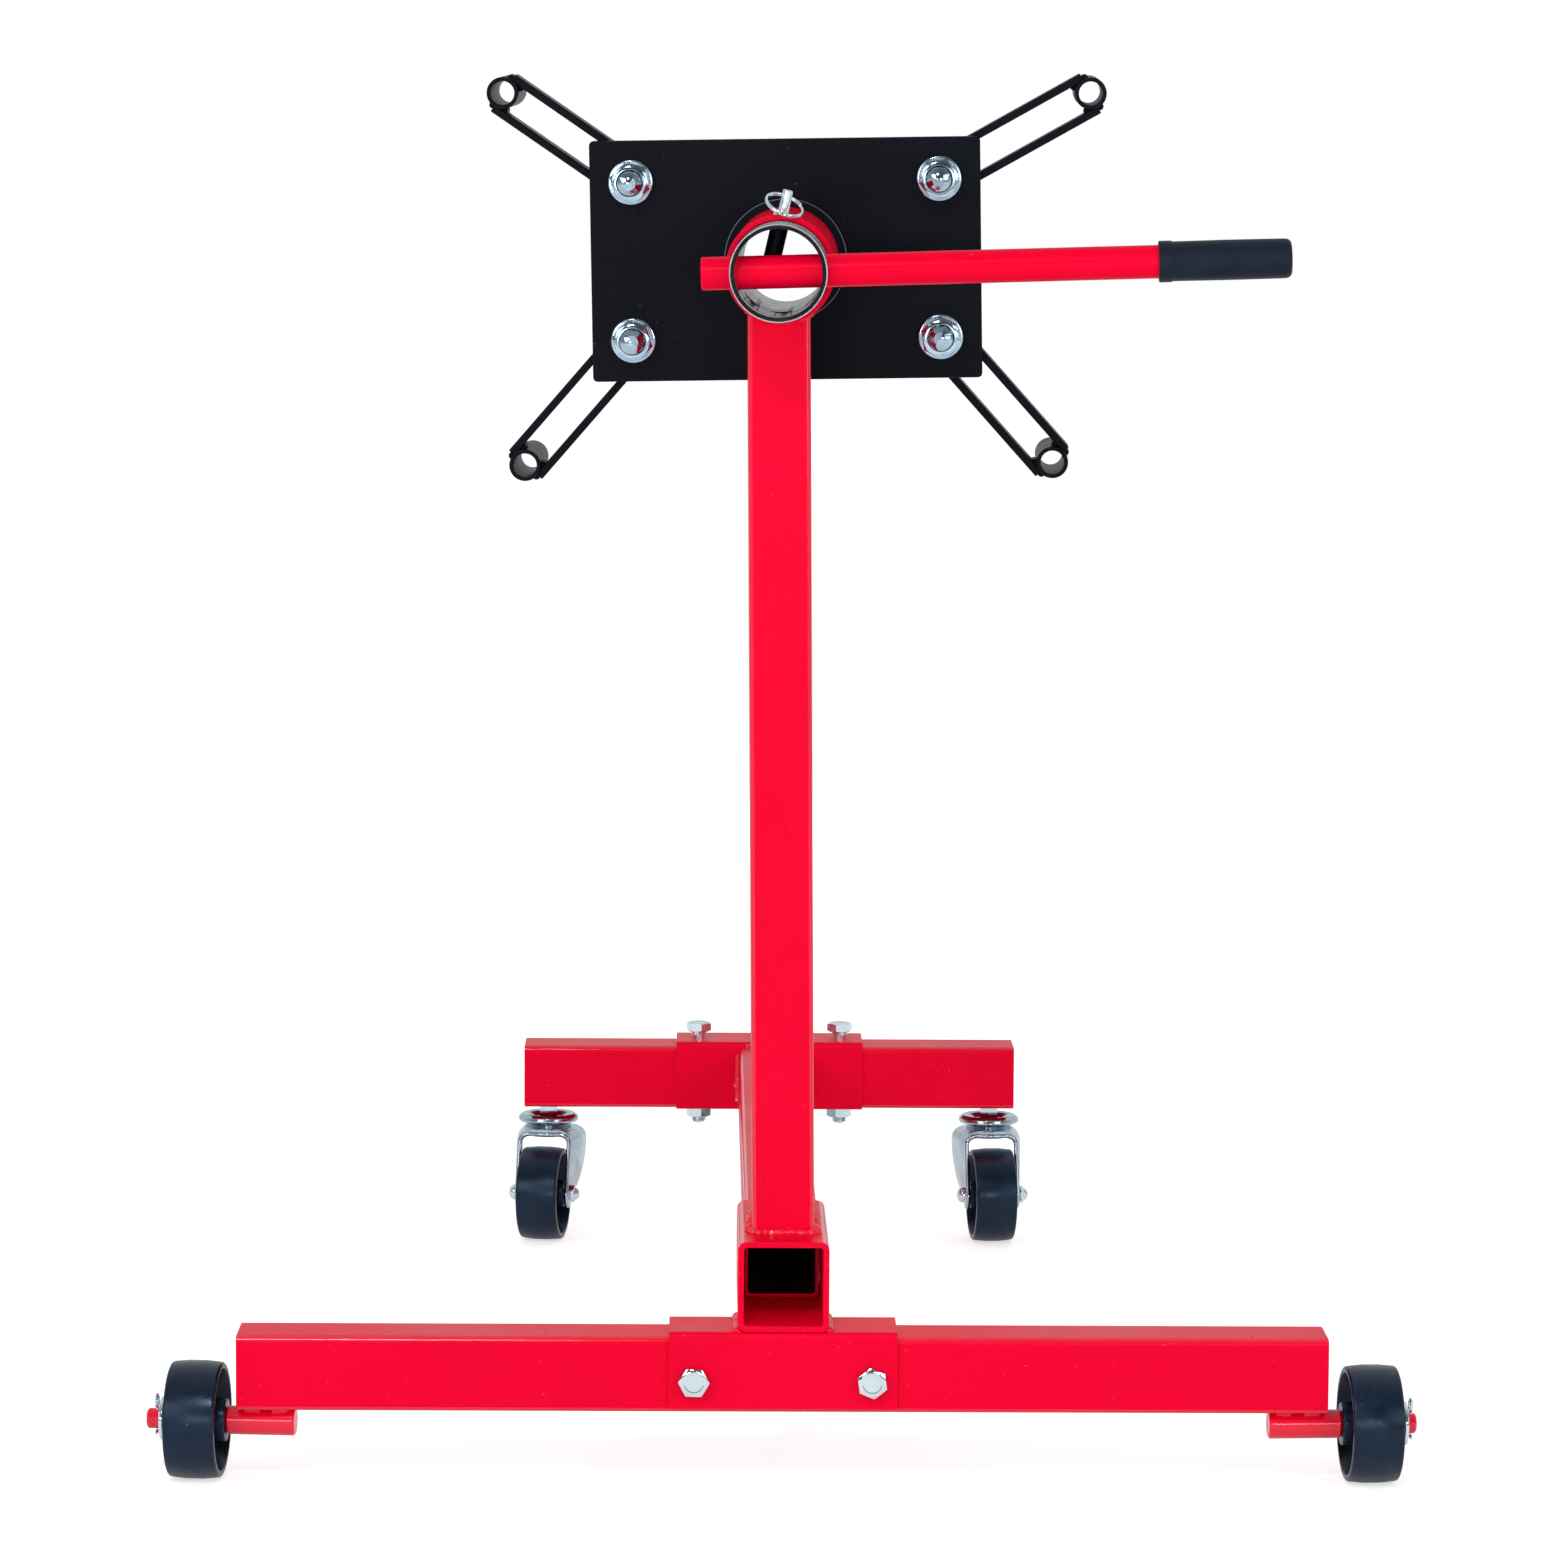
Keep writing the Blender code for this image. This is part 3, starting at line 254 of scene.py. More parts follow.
def effect(name, values, results):
    """An empty shader group with number inputs and the outputs that its results name."""
    group = bpy.data.node_groups.new(name, "ShaderNodeTree")
    for socket, value in values.items():
        made = group.interface.new_socket(socket, in_out="INPUT", socket_type="NodeSocketFloat")
        made.default_value = value
    for socket in results:
        group.interface.new_socket(socket, in_out="OUTPUT", socket_type="NodeSocketFloat")
    return group, group.nodes.new("NodeGroupInput").outputs, group.nodes.new("NodeGroupOutput").inputs


def use(tree, group, **values):
    """The outputs of a shader group placed in a material with its own values."""
    made = tree.nodes.new("ShaderNodeGroup")
    made.node_tree = group
    for name, value in values.items():
        feed(tree, made.inputs[name.replace("_", " ")], value)
    return made.outputs


def clouds_effect():
    """Slow drifts of tone, a fine pebbled height and scattered specks, for all that is sprayed or moulded."""
    values = {"Drift Scale": 9.0, "Pebble Scale": 900.0, "Speck Scale": 520.0, "Speck Share": 0.3}
    group, given, out = effect("clouds_and_specks", values, ("Drift", "Height", "Specks"))
    where = put(group, "ShaderNodeTexCoord").outputs["Object"]
    drift, pebble, speck = [
        put(group, "ShaderNodeTexNoise", Vector=where, Scale=given[f"{kind} Scale"], Detail=detail)
        for kind, detail in (("Drift", 5.0), ("Pebble", 2.0), ("Speck", 1.0))
    ]
    drift.inputs["Roughness"].default_value = DRIFT_RAGGED
    edge = sums(group, "SUBTRACT", SPECK_RARE, sums(group, "MULTIPLY", given["Speck Share"], SPECK_GAIN))
    specks = ranged(group, speck.outputs[0], edge, sums(group, "ADD", edge, SPECK_SOFT))
    group.links.new(ranged(group, drift.outputs[0], *NOISE_MIDDLE), out["Drift"])
    group.links.new(pebble.outputs[0], out["Height"])
    group.links.new(specks, out["Specks"])
    return group


def how_alike(tree, first, second):
    """One where two directions agree, and less as they part."""
    made = tree.nodes.new("ShaderNodeVectorMath")
    made.operation = "DOT_PRODUCT"
    tree.links.new(first, made.inputs[0])
    tree.links.new(second, made.inputs[1])
    return made.outputs["Value"]


def edges_effect():
    """How near a point is to an edge, broken up by noise, for paint that is thin there."""
    group, given, out = effect("thin_edges", {"Reach": 0.0012, "Break Scale": 160.0}, ("Edge",))
    where = put(group, "ShaderNodeTexCoord").outputs["Object"]
    rounded = put(group, "ShaderNodeBevel", Radius=given["Reach"])
    rounded.samples = 4
    face = put(group, "ShaderNodeNewGeometry")
    edge = ranged(group, how_alike(group, rounded.outputs[0], face.outputs["Normal"]), *EDGE_TURN)
    noise = put(group, "ShaderNodeTexNoise", Vector=where, Scale=given["Break Scale"], Detail=3.0)
    broken = ranged(group, noise.outputs[0], *EDGE_BREAKS)
    group.links.new(sums(group, "MULTIPLY", edge, broken), out["Edge"])
    return group


CLOUDS = clouds_effect()
EDGES = edges_effect()


def finish_named(name):
    """A new material with its node tree and its Principled shader."""
    finish = bpy.data.materials.new(name)
    finish.use_nodes = True
    return finish, finish.node_tree, finish.node_tree.nodes["Principled BSDF"]


def bumped(tree, shader, height, strength, distance):
    """Raises a shader's surface by a height."""
    bump = put(tree, "ShaderNodeBump", Height=height, Strength=strength, Distance=distance)
    tree.links.new(bump.outputs[0], shader.inputs["Normal"])


def sprayed_paint(name, colour, deep, thin, dust, gloss, dull, pebble, shine):
    """Enamel over steel: a slow drift of tone, thin edges, a few dust specks and orange peel."""
    finish, tree, shader = finish_named(name)
    clouds = use(tree, CLOUDS, Drift_Scale=7.0, Pebble_Scale=750.0, Speck_Scale=430.0, Speck_Share=0.30)
    edges = use(tree, EDGES, Reach=0.0011, Break_Scale=140.0)
    body = tinted(tree, clouds["Drift"], deep, colour)
    body = tinted(tree, sums(tree, "MULTIPLY", edges["Edge"], 0.55), body, thin)
    body = tinted(tree, sums(tree, "MULTIPLY", clouds["Specks"], 0.35), body, dust)
    feed(tree, shader.inputs["Base Color"], body)
    rough = ranged(tree, clouds["Drift"], 0.0, 1.0, gloss, dull)
    rough = sums(tree, "ADD", rough, sums(tree, "MULTIPLY", clouds["Specks"], 0.2))
    feed(tree, shader.inputs["Roughness"], rough)
    bumped(tree, shader, clouds["Height"], pebble, PEEL_DEPTH)
    shader.inputs["Specular IOR Level"].default_value = shine
    return finish


def shaded_inside_finish():
    """Inside of a tube: near black, painted shade for the dark of the bore, in drifts of dark red where spray
    has blown in.
    """
    finish, tree, shader = finish_named("tube_inside_painted_shade")
    clouds = use(tree, CLOUDS, Drift_Scale=30.0, Pebble_Scale=500.0, Speck_Scale=300.0, Speck_Share=0.3)
    feed(tree, shader.inputs["Base Color"], tinted(tree, clouds["Drift"], BORE_SHADE, OVERSPRAY_IN_SHADE))
    feed(tree, shader.inputs["Roughness"], ranged(tree, clouds["Drift"], 0.0, 1.0, 0.55, 0.75))
    bumped(tree, shader, clouds["Height"], 0.3, PEEL_DEPTH)
    return finish


tube_inside_painted_shade = shaded_inside_finish()
RED_COAT = (RED, RED_DEEP, RED_THIN, PAINT_DUST)
red_gloss = sprayed_paint("thick_red_enamel", *RED_COAT, gloss=0.10, dull=0.18, pebble=0.04, shine=0.55)
red_paint = sprayed_paint("red_enamel", *RED_COAT, gloss=0.22, dull=0.34, pebble=0.10, shine=0.04)
long_bar = square_tube("long_crossbar_tube", "long_crossbar", X_AXIS, Y_AXIS, TUBE_WALL, TUBE_CORNER)
stands_for(long_bar, red_paint, "long_crossbar", inside=tube_inside_painted_shade)

# Front saddle: 4 mm plate bent to an inverted channel over the crossbar, painted with the frame.
# Two M12 bolts go right through it and the bar, zinc plated, with a nut on the back.
SADDLE_PLATE = 0.004
SADDLE_BEND = 0.0045
HEX_CROWN = 0.91
HEX_SLOPE = math.tan(math.radians(30))
HEX_DISH = 0.0005
DISH_FOOT, DISH_BRIM = 0.72, 0.80
BOLT_TIP = 0.26
TIP_TAPER = 1.7
TURN_SIDES = 72
THREAD_STEPS = 7
THREAD_DEPTH = 0.6
M12_PITCH = 0.00175
M12_THREADED = 0.026
ZINC_COOL = (0.60, 0.74, 0.82, 1)
ZINC_WARM = (0.74, 0.84, 0.89, 1)
ZINC_DULL = (0.25, 0.30, 0.36, 1)
PLATING_DEPTH = 0.0001


def saddle_piece(name, node):
    """An inverted channel as large as its solid, bent from plate."""
    low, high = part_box(node)
    size, middle = high - low, (low + high) / 2
    half, top, foot = size.y / 2, size.z / 2, -size.z / 2
    inner, under, inner_bend = half - SADDLE_PLATE, top - SADDLE_PLATE, SADDLE_BEND - SADDLE_PLATE
    corners = [(half, foot, 0), (half, top, SADDLE_BEND), (-half, top, SADDLE_BEND), (-half, foot, 0)]
    corners += [(-inner, foot, 0), (-inner, under, inner_bend), (inner, under, inner_bend), (inner, foot, 0)]
    shape = bar_shape(eased(corners), -size.x / 2, size.x / 2)
    return piece_of(name, shape, aimed(middle, X_AXIS, Y_AXIS), SAWN_EDGE)


def turned(rings, sides=TURN_SIDES):
    """A shape round local Z through rings of (radius, height), each a pair or a function of the angle."""
    shape = bmesh.new()
    loops = []
    for ring in rings:
        loop = []
        for side in range(sides):
            turn = 2 * math.pi * side / sides
            radius, height = ring(turn) if callable(ring) else ring
            loop.append(shape.verts.new((radius * math.cos(turn), radius * math.sin(turn), height)))
            if radius == 0:
                break
        loops.append(loop)
    for near, far in zip(loops, loops[1:]):
        skin(shape, near, far)
    if len(loops[0]) > 1:
        skin(shape, loops[-1], loops[0])
    return shape


def hex_rings(flats, low, high):
    """The outside of a hexagon from low to high, its corners turned off at both ends."""
    crown = HEX_CROWN * flats / 2
    sixth = math.pi / 3

    def reach(turn):
        return flats / 2 / math.cos((turn + sixth / 2) % sixth - sixth / 2)

    def drop(turn):
        return (reach(turn) - crown) * HEX_SLOPE

    def below(turn):
        return reach(turn), low + drop(turn)

    def above(turn):
        return reach(turn), high - drop(turn)

    return [(crown, low), below, above, (crown, high)]


def thread_rings(radius, start, end, pitch):
    """A screw thread on a rod from start down to end."""
    depth = THREAD_DEPTH * pitch
    count = max(2, round(abs(end - start) / pitch * THREAD_STEPS))

    def ring(height):
        wind = 2 * math.pi * height / pitch
        return lambda turn: (radius - depth / 2 * (1 + math.cos(wind - turn)), height)

    return [ring(start + (end - start) * step / count) for step in range(count + 1)]


def bolt_shape(flats, head, diameter, length, threaded, pitch):
    """A hexagon bolt: its head stands on z = 0 and its shank runs down from there."""
    radius, crown = diameter / 2, HEX_CROWN * flats / 2
    tip = BOLT_TIP * radius
    rings = [(0, head - HEX_DISH), (DISH_FOOT * crown, head - HEX_DISH), (DISH_BRIM * crown, head)]
    rings += reversed(hex_rings(flats, 0, head))
    rings += [(radius, 0), (radius, threaded - length)]
    rings += thread_rings(radius, threaded - length, tip - length, pitch)
    return turned(rings + [(radius - TIP_TAPER * tip, -length), (0, -length)])


def nut_shape(flats, height, bore):
    """A nut on z = 0, chamfered at both ends, with a countersunk bore."""
    sink, radius = height / 12, bore / 2
    mouth = [(radius, sink), (radius + sink, 0)]
    return turned(mouth + hex_rings(flats, 0, height) + [(radius + sink, height), (radius, height - sink)])


def plated_steel(name, cool, warm, dull, shine, rough, grain):
    """Zinc plate: passivated in cool and warm clouds, with dull blotches and fine specks."""
    finish, tree, shader = finish_named(name)
    clouds = use(tree, CLOUDS, Drift_Scale=70.0, Pebble_Scale=1500.0, Speck_Scale=700.0, Speck_Share=0.10)
    blotches = use(tree, CLOUDS, Drift_Scale=110.0, Pebble_Scale=3000.0, Speck_Scale=900.0, Speck_Share=0.2)
    colour = tinted(tree, clouds["Drift"], cool, warm)
    colour = tinted(tree, sums(tree, "MULTIPLY", clouds["Specks"], 0.5), colour, dull)
    feed(tree, shader.inputs["Base Color"], colour)
    feed(tree, shader.inputs["Roughness"], ranged(tree, blotches["Drift"], 0.0, 1.0, shine, rough))
    bumped(tree, shader, clouds["Height"], grain, PLATING_DEPTH)
    shader.inputs["Metallic"].default_value = 1.0
    return finish


def reach_of(node, at, along):
    """Lowest and highest place of a solid along an axis, and its least and greatest distance from it."""
    at, along = Vector(at), Vector(along).normalized()
    steps = [vertex.co - at for vertex in frame["nodes"][node].data.vertices]
    heights = [step.dot(along) for step in steps]
    radii = [(step - step.dot(along) * along).length for step in steps]
    return min(heights), max(heights), min(radii), max(radii)


def fit_bolt(node, name, seat, facing, side, threaded, pitch, head, flats, diameter, finish=None):
    """A bolt in place of its solid, with its head's seat at a point and its head facing away from it."""
    length = -reach_of(node, seat, facing)[0]
    shape = bolt_shape(flats, head, diameter, length, threaded, pitch)
    stands_for(piece_of(name, shape, aimed(seat, facing, side)), finish or zinc, node)


def fit_nut(node, name, seat, facing, side, flats, bore, finish=None):
    """A nut in place of its solid, seated at a point and facing away from it."""
    shape = nut_shape(flats, reach_of(node, seat, facing)[1], bore)
    stands_for(piece_of(name, shape, aimed(seat, facing, side)), finish or zinc, node)


zinc = plated_steel("bright_zinc", ZINC_COOL, ZINC_WARM, ZINC_DULL, shine=0.07, rough=0.17, grain=0.02)
stands_for(saddle_piece("front_saddle_plate", "front_saddle"), red_paint, "front_saddle")
M12_HEAD, M12_FLATS, M12 = 0.0075, 0.018, 0.012
M12_SIZES = (M12_THREADED, M12_PITCH, M12_HEAD, M12_FLATS, M12)
SADDLE_BOLT_TURN = {"left": math.radians(28), "right": math.radians(8)}
for hand, turn in SADDLE_BOLT_TURN.items():
    low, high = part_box(f"front_saddle_bolt_{hand}")
    seat = Vector(((low.x + high.x) / 2, low.y + M12_HEAD, (low.z + high.z) / 2))
    tilted = Vector((math.cos(turn), 0, math.sin(turn)))
    fit_bolt(f"front_saddle_bolt_{hand}", f"saddle_bolt_front_{hand}", seat, -Y_AXIS, tilted, *M12_SIZES)
    nut_seat = Vector((seat.x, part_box(f"front_saddle_nut_{hand}")[0].y, seat.z))
    fit_nut(f"front_saddle_nut_{hand}", f"saddle_nut_front_{hand}", nut_seat, Y_AXIS, tilted, M12_FLATS, M12)

# Socket: a short 60 mm square tube, open at the front, that takes the main beam.
# It stands on the saddle and is held by hand-laid welds along its foot, painted over.
SOCKET_WALL = 0.004
SOCKET_CORNER = 0.0065
WELD_RADIUS = 0.0034
WELD_PITCH = 0.0026
WELD_STEP = 0.0009
WELD_SIDES = 12
WELD_WANDER, WANDER_KEPT = 0.05, 0.8
WELD_LUMPS, LUMPS_KEPT = 0.055, 0.85
WELD_THIN, WELD_RIPPLE = 0.90, 0.10
WELD_START, WELD_RISE = 0.35, 1.3
BACK_WELD = 0.8 * WELD_RADIUS
BEAD_DEPTH = 0.0010
# Pale specks on the welds: spatter, and also painted glints.
SPATTER_AND_GLINTS = (0.95, 0.62, 0.62, 1)


def swept(points, radii, guide, sides=WELD_SIDES):
    """A round bar through points, as thick at each as asked; the guide is never along the bar."""
    shape = bmesh.new()
    loops = []
    last = len(points) - 1
    for number, (point, radius) in enumerate(zip(points, radii)):
        back = points[number - 1] if number else point
        ahead = points[number + 1] if number < last else point
        side = (ahead - back).cross(guide).normalized()
        up = side.cross(ahead - back).normalized()
        loop = []
        for step in range(sides):
            turn = 2 * math.pi * step / sides
            loop.append(shape.verts.new(point + radius * (math.cos(turn) * side + math.sin(turn) * up)))
        loops.append(loop)
    for near, far in zip(loops, loops[1:]):
        skin(shape, near, far)
    shape.faces.new(loops[0])
    shape.faces.new(loops[-1])
    return shape


def spaced(corners, step):
    """Points a step apart along straight runs between corners."""
    points = [corners[0].copy()]
    for start, end in zip(corners, corners[1:]):
        count = max(1, round((end - start).length / step))
        points += [start.lerp(end, (number + 1) / count) for number in range(count)]
    return points


def weld(name, corners, guide, seed, radius=WELD_RADIUS, lumps=WELD_LUMPS, body=BASE, finish=None):
    """A hand-laid bead along a joint: ripples, a wandering line and thin starts and stops."""
    draw = random.Random(seed)
    points, radii = [], []
    path = spaced(corners, WELD_STEP)
    drift = Vector((0, 0, 0))
    swell = 0.0
    for number, point in enumerate(path):
        along = number * WELD_STEP
        nudge = Vector([draw.uniform(-1, 1) for _ in range(3)])
        drift = WANDER_KEPT * drift + nudge * radius * WELD_WANDER
        swell = LUMPS_KEPT * swell + draw.uniform(-1, 1) * lumps
        ripple = WELD_RIPPLE * abs(math.sin(math.pi * along / WELD_PITCH))
        from_end = min(number, len(path) - 1 - number) * WELD_STEP
        ends = min(1.0, WELD_START + WELD_RISE * from_end / radius)
        points.append(point + drift)
        radii.append(radius * ends * (WELD_THIN + ripple + swell))
    bead = piece_of(name, swept(points, radii, guide))
    goes_on(bead, finish or weld_paint, body)


def weld_finish():
    """Paint over a bead: the red enamel with stronger ripples and pale specks of spatter that are also
    painted glints.
    """
    finish, tree, shader = finish_named("painted_weld")
    clouds = use(tree, CLOUDS, Drift_Scale=260.0, Pebble_Scale=420.0, Speck_Scale=170.0, Speck_Share=0.62)
    colour = tinted(tree, clouds["Drift"], RED_DEEP, RED)
    feed(tree, shader.inputs["Base Color"], tinted(tree, clouds["Specks"], colour, SPATTER_AND_GLINTS))
    feed(tree, shader.inputs["Roughness"], ranged(tree, clouds["Drift"], 0.0, 1.0, 0.12, 0.26))
    bumped(tree, shader, clouds["Height"], 0.55, BEAD_DEPTH)
    shader.inputs["Specular IOR Level"].default_value = 0.5
    return finish


weld_paint = weld_finish()
socket = square_tube("socket_tube_open", "socket_tube", Y_AXIS, X_AXIS, SOCKET_WALL, SOCKET_CORNER)
stands_for(socket, red_paint, "socket_tube", inside=red_paint)
socket_low, socket_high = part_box("socket_tube")
saddle_low, saddle_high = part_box("front_saddle")
foot_z = saddle_high.z
for hand, x in (("left", socket_low.x), ("right", socket_high.x)):
    start = Vector((x, saddle_low.y + WELD_RADIUS, foot_z))
    end = Vector((x, saddle_high.y - WELD_RADIUS, foot_z))
    weld(f"socket_weld_{hand}", [start, end], Z_AXIS, f"socket {hand}")
back_y = saddle_high.y - WELD_RADIUS / 2
back_ends = [Vector((x, back_y, foot_z)) for x in (socket_low.x, socket_high.x)]
weld("socket_weld_back", back_ends, Z_AXIS, "socket back", BACK_WELD)

# Main beam: square tube that slides into the socket from behind and runs to the rear saddle.
# A bolt under the socket, painted near black as shade, stops it, and three beads fix it to the rear saddle.
M10_HEAD, M10_FLATS, M10 = 0.0065, 0.017, 0.010
M10_PITCH, M10_THREADED = 0.0015, 0.015
BEAM_WALL = 0.0024
# Near-black tones of painted shade, for steel that sits in the dark inside the socket.
SHADE_BLACK, SHADE_GREY = (0.010, 0.011, 0.013, 1), (0.022, 0.023, 0.026, 1)

beam = square_tube("main_beam_tube", "main_beam", Y_AXIS, X_AXIS, BEAM_WALL, TUBE_CORNER)
stands_for(beam, red_paint, "main_beam", inside=tube_inside_painted_shade)
low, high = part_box("beam_lock_bolt")
seat = Vector((0, (low.y + high.y) / 2, low.z + M10_HEAD))
SHADE_TONES = (SHADE_BLACK, SHADE_GREY, SHADE_BLACK)
shaded_steel = plated_steel("steel_painted_shade", *SHADE_TONES, shine=0.40, rough=0.55, grain=0.04)
M10_SIZES = (M10_THREADED, M10_PITCH, M10_HEAD, M10_FLATS, M10)
fit_bolt("beam_lock_bolt", "beam_stop_bolt", seat, -Z_AXIS, X_AXIS, *M10_SIZES, shaded_steel)
beam_low, beam_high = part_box("main_beam")
joint_y = beam_high.y - WELD_RADIUS / 3
for hand, x in (("left", beam_low.x), ("right", beam_high.x)):
    start = Vector((x, joint_y, beam_low.z + TUBE_CORNER))
    end = Vector((x, joint_y, beam_high.z - TUBE_CORNER))
    weld(f"beam_weld_{hand}", [start, end], X_AXIS, f"beam {hand}")
top_ends = [Vector((x, joint_y, beam_high.z)) for x in (beam_low.x + TUBE_CORNER, beam_high.x - TUBE_CORNER)]
weld("beam_weld_top", top_ends, Z_AXIS, "beam top")

# Rear saddle and short crossbar: the same bent plate over the same square tube, painted red.
# Two upright M12 bolts, not screwed home, hold them together, with nuts underneath.
REAR_BOLT_TURN = {"left": math.radians(12), "right": math.radians(-17)}

short_bar = square_tube("short_crossbar_tube", "short_crossbar", X_AXIS, Y_AXIS, TUBE_WALL, TUBE_CORNER)
stands_for(short_bar, red_paint, "short_crossbar", inside=tube_inside_painted_shade)
stands_for(saddle_piece("rear_saddle_plate", "rear_saddle"), red_paint, "rear_saddle")
for hand, turn in REAR_BOLT_TURN.items():
    low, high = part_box(f"rear_saddle_bolt_{hand}")
    seat = Vector(((low.x + high.x) / 2, (low.y + high.y) / 2, high.z - M12_HEAD))
    tilted = Vector((math.cos(turn), math.sin(turn), 0))
    fit_bolt(f"rear_saddle_bolt_{hand}", f"saddle_bolt_rear_{hand}", seat, Z_AXIS, tilted, *M12_SIZES)
    nut_seat = Vector((seat.x, seat.y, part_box(f"rear_saddle_nut_{hand}")[1].z))
    fit_nut(f"rear_saddle_nut_{hand}", f"saddle_nut_rear_{hand}", nut_seat, -Z_AXIS, tilted, M12_FLATS, M12)

# Front axles: red-painted 19 mm rod, turned down to a journal for the wheel and drilled for a cotter.
# Each is laid under the end of the crossbar and fixed by short welds along both sides.
JOURNAL_RADIUS = 0.00675
AXLE_CHAMFER = 0.0012
AXLE_SIDES = 56
SEAT_GAP = 0.0003
AXLE_WELD = 0.0026
AXLE_WELD_LENGTH = 0.012
AXLE_WELD_INSET = 0.004
AXLE_WELD_DROP = 0.0012
AXLE_WELD_ASIDE = 0.62
HANDS = (("left", -1), ("right", 1))
JOINTS = {joint["name"]: joint for joint in frame["joints"]}

bar_low, bar_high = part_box("long_crossbar")
for hand, sign in HANDS:
    centre = Vector(JOINTS[f"front_wheel_{hand}_spin"]["pos_m"])
    outward = sign * Vector(JOINTS[f"front_wheel_{hand}_spin"]["axis"])
    inner_end, outer_end, _, rod = reach_of(f"axle_{hand}", centre, outward)
    profile = [(0, inner_end), (rod - AXLE_CHAMFER, inner_end), (rod, inner_end + AXLE_CHAMFER)]
    shoulder = reach_of(f"front_wheel_{hand}", centre, outward)[0] - SEAT_GAP
    profile += [(rod, shoulder - AXLE_CHAMFER), (rod - AXLE_CHAMFER, shoulder), (JOURNAL_RADIUS, shoulder)]
    profile += [(JOURNAL_RADIUS, outer_end - AXLE_CHAMFER), (JOURNAL_RADIUS - AXLE_CHAMFER, outer_end)]
    profile += [(0, outer_end)]
    axle = piece_of(f"axle_{hand}_rod", turned(profile, AXLE_SIDES), aimed(centre, outward, Y_AXIS))
    stands_for(axle, red_gloss, f"axle_{hand}")
    bar_end = abs(bar_high.x - centre.x * sign)
    beside = Z_AXIS.cross(outward)
    for face, across in (("front", -sign), ("back", sign)):
        rise = bar_low.z - AXLE_WELD_DROP - centre.z
        rail = centre + across * AXLE_WELD_ASIDE * rod * beside + rise * Z_AXIS
        inner_start = inner_end + AXLE_WELD_INSET + AXLE_WELD_LENGTH
        for stretch, at in (("end", -bar_end - AXLE_WELD_INSET), ("inner", inner_start)):
            run = [rail + at * outward, rail + (at - AXLE_WELD_LENGTH) * outward]
            seed = f"axle {hand} {face} {stretch}"
            weld(f"axle_weld_{hand}_{face}_{stretch}", run, Z_AXIS, seed, AXLE_WELD)

# Front wheels: hard black moulded wheels with a crowned tread, a deep recess each side and a plain bore.
# They turn on the journals and are kept there by a zinc washer and a split wire pin. The solid wheels have
# flat sides, and the round ones drawn here are as large as fits between those flats, to stand on the floor.
TREAD_CROWN = 0.0011
TREAD_SHOULDER = 0.0042
TREAD_ROUND = 0.02
RIM_EDGE = 0.0052
RIM_DRAFT = 0.0030
RIM_EASE = 0.0008
WHEEL_WEB = 0.0085
WHEEL_SIDES = 96
RIM_FILLET, HUB_FILLET = 0.0040, 0.0030
HUB_DRAFT = 0.0012
HUB_EASE, BORE_EASE = 0.0010, 0.0004
FRONT_HUB = 0.0140
FRONT_HALF = 0.0170
SOLID_SIDES = 32
FLOOR_TOUCH = math.cos(math.pi / SOLID_SIDES)
WHEEL_BLACK = (0.0024, 0.0050, 0.0125, 1)
WHEEL_SCUFF = (0.0060, 0.0135, 0.0340, 1)
WHEEL_SPECK = (0.11, 0.13, 0.18, 1)
BLUE_SHEEN = (0.46, 0.70, 1.0, 1)
MOULD_DEPTH = 0.0005
COTTER_WIRE = 0.0010
COTTER_SPREAD = 0.0042
COTTER_TIP = 0.0012
COTTER_CLEAR = 0.001
COTTER_STEP = 0.0006
COTTER_SIDES = 10
EYE_STEPS = 24
WASHER_EASE = 0.0005


def moulded_black(name, colour, scuff, speck, sheen, rough, drift, speck_share, shine):
    """Moulded black: cloudy scuffs, pale specks and a soft pebbled skin."""
    finish, tree, shader = finish_named(name)
    specks = {"Speck_Scale": 360.0, "Speck_Share": speck_share}
    clouds = use(tree, CLOUDS, Drift_Scale=drift, Pebble_Scale=520.0, **specks)
    edges = use(tree, EDGES, Reach=0.0012, Break_Scale=210.0)
    body = tinted(tree, clouds["Drift"], colour, scuff)
    body = tinted(tree, sums(tree, "MULTIPLY", edges["Edge"], 0.5), body, scuff)
    body = tinted(tree, sums(tree, "MULTIPLY", clouds["Specks"], 0.6), body, speck)
    feed(tree, shader.inputs["Base Color"], body)
    feed(tree, shader.inputs["Roughness"], ranged(tree, clouds["Drift"], 0.0, 1.0, sheen, rough))
    bumped(tree, shader, clouds["Height"], 0.16, MOULD_DEPTH)
    shader.inputs["Specular IOR Level"].default_value = shine
    shader.inputs["Specular Tint"].default_value = BLUE_SHEEN
    return finish


def wheel_shape(radius, half, hub, hub_inner, hub_outer, bore):
    """A moulded wheel round local Z: tread, rim, recess and web, and a hub that ends at two heights."""
    rim, web = radius - RIM_EDGE, WHEEL_WEB / 2

    def side(hub_end):
        return [
            (bore, hub_end, BORE_EASE),
            (hub, hub_end, HUB_EASE),
            (hub + HUB_DRAFT, web, HUB_FILLET),
            (rim - RIM_DRAFT, web, RIM_FILLET),
            (rim, half, RIM_EASE),
            (radius - TREAD_CROWN, half, TREAD_SHOULDER),
            (radius, half / 3, TREAD_ROUND),
        ]

    mirrored = [(across, -along, ease) for across, along, ease in reversed(side(hub_inner))]
    return turned(eased(side(hub_outer) + mirrored), WHEEL_SIDES)


def tube_corners(inner, outer, low, high, ease):
    """The corners of a plain ring's section, each eased alike."""
    return [(inner, low, ease), (outer, low, ease), (outer, high, ease), (inner, high, ease)]


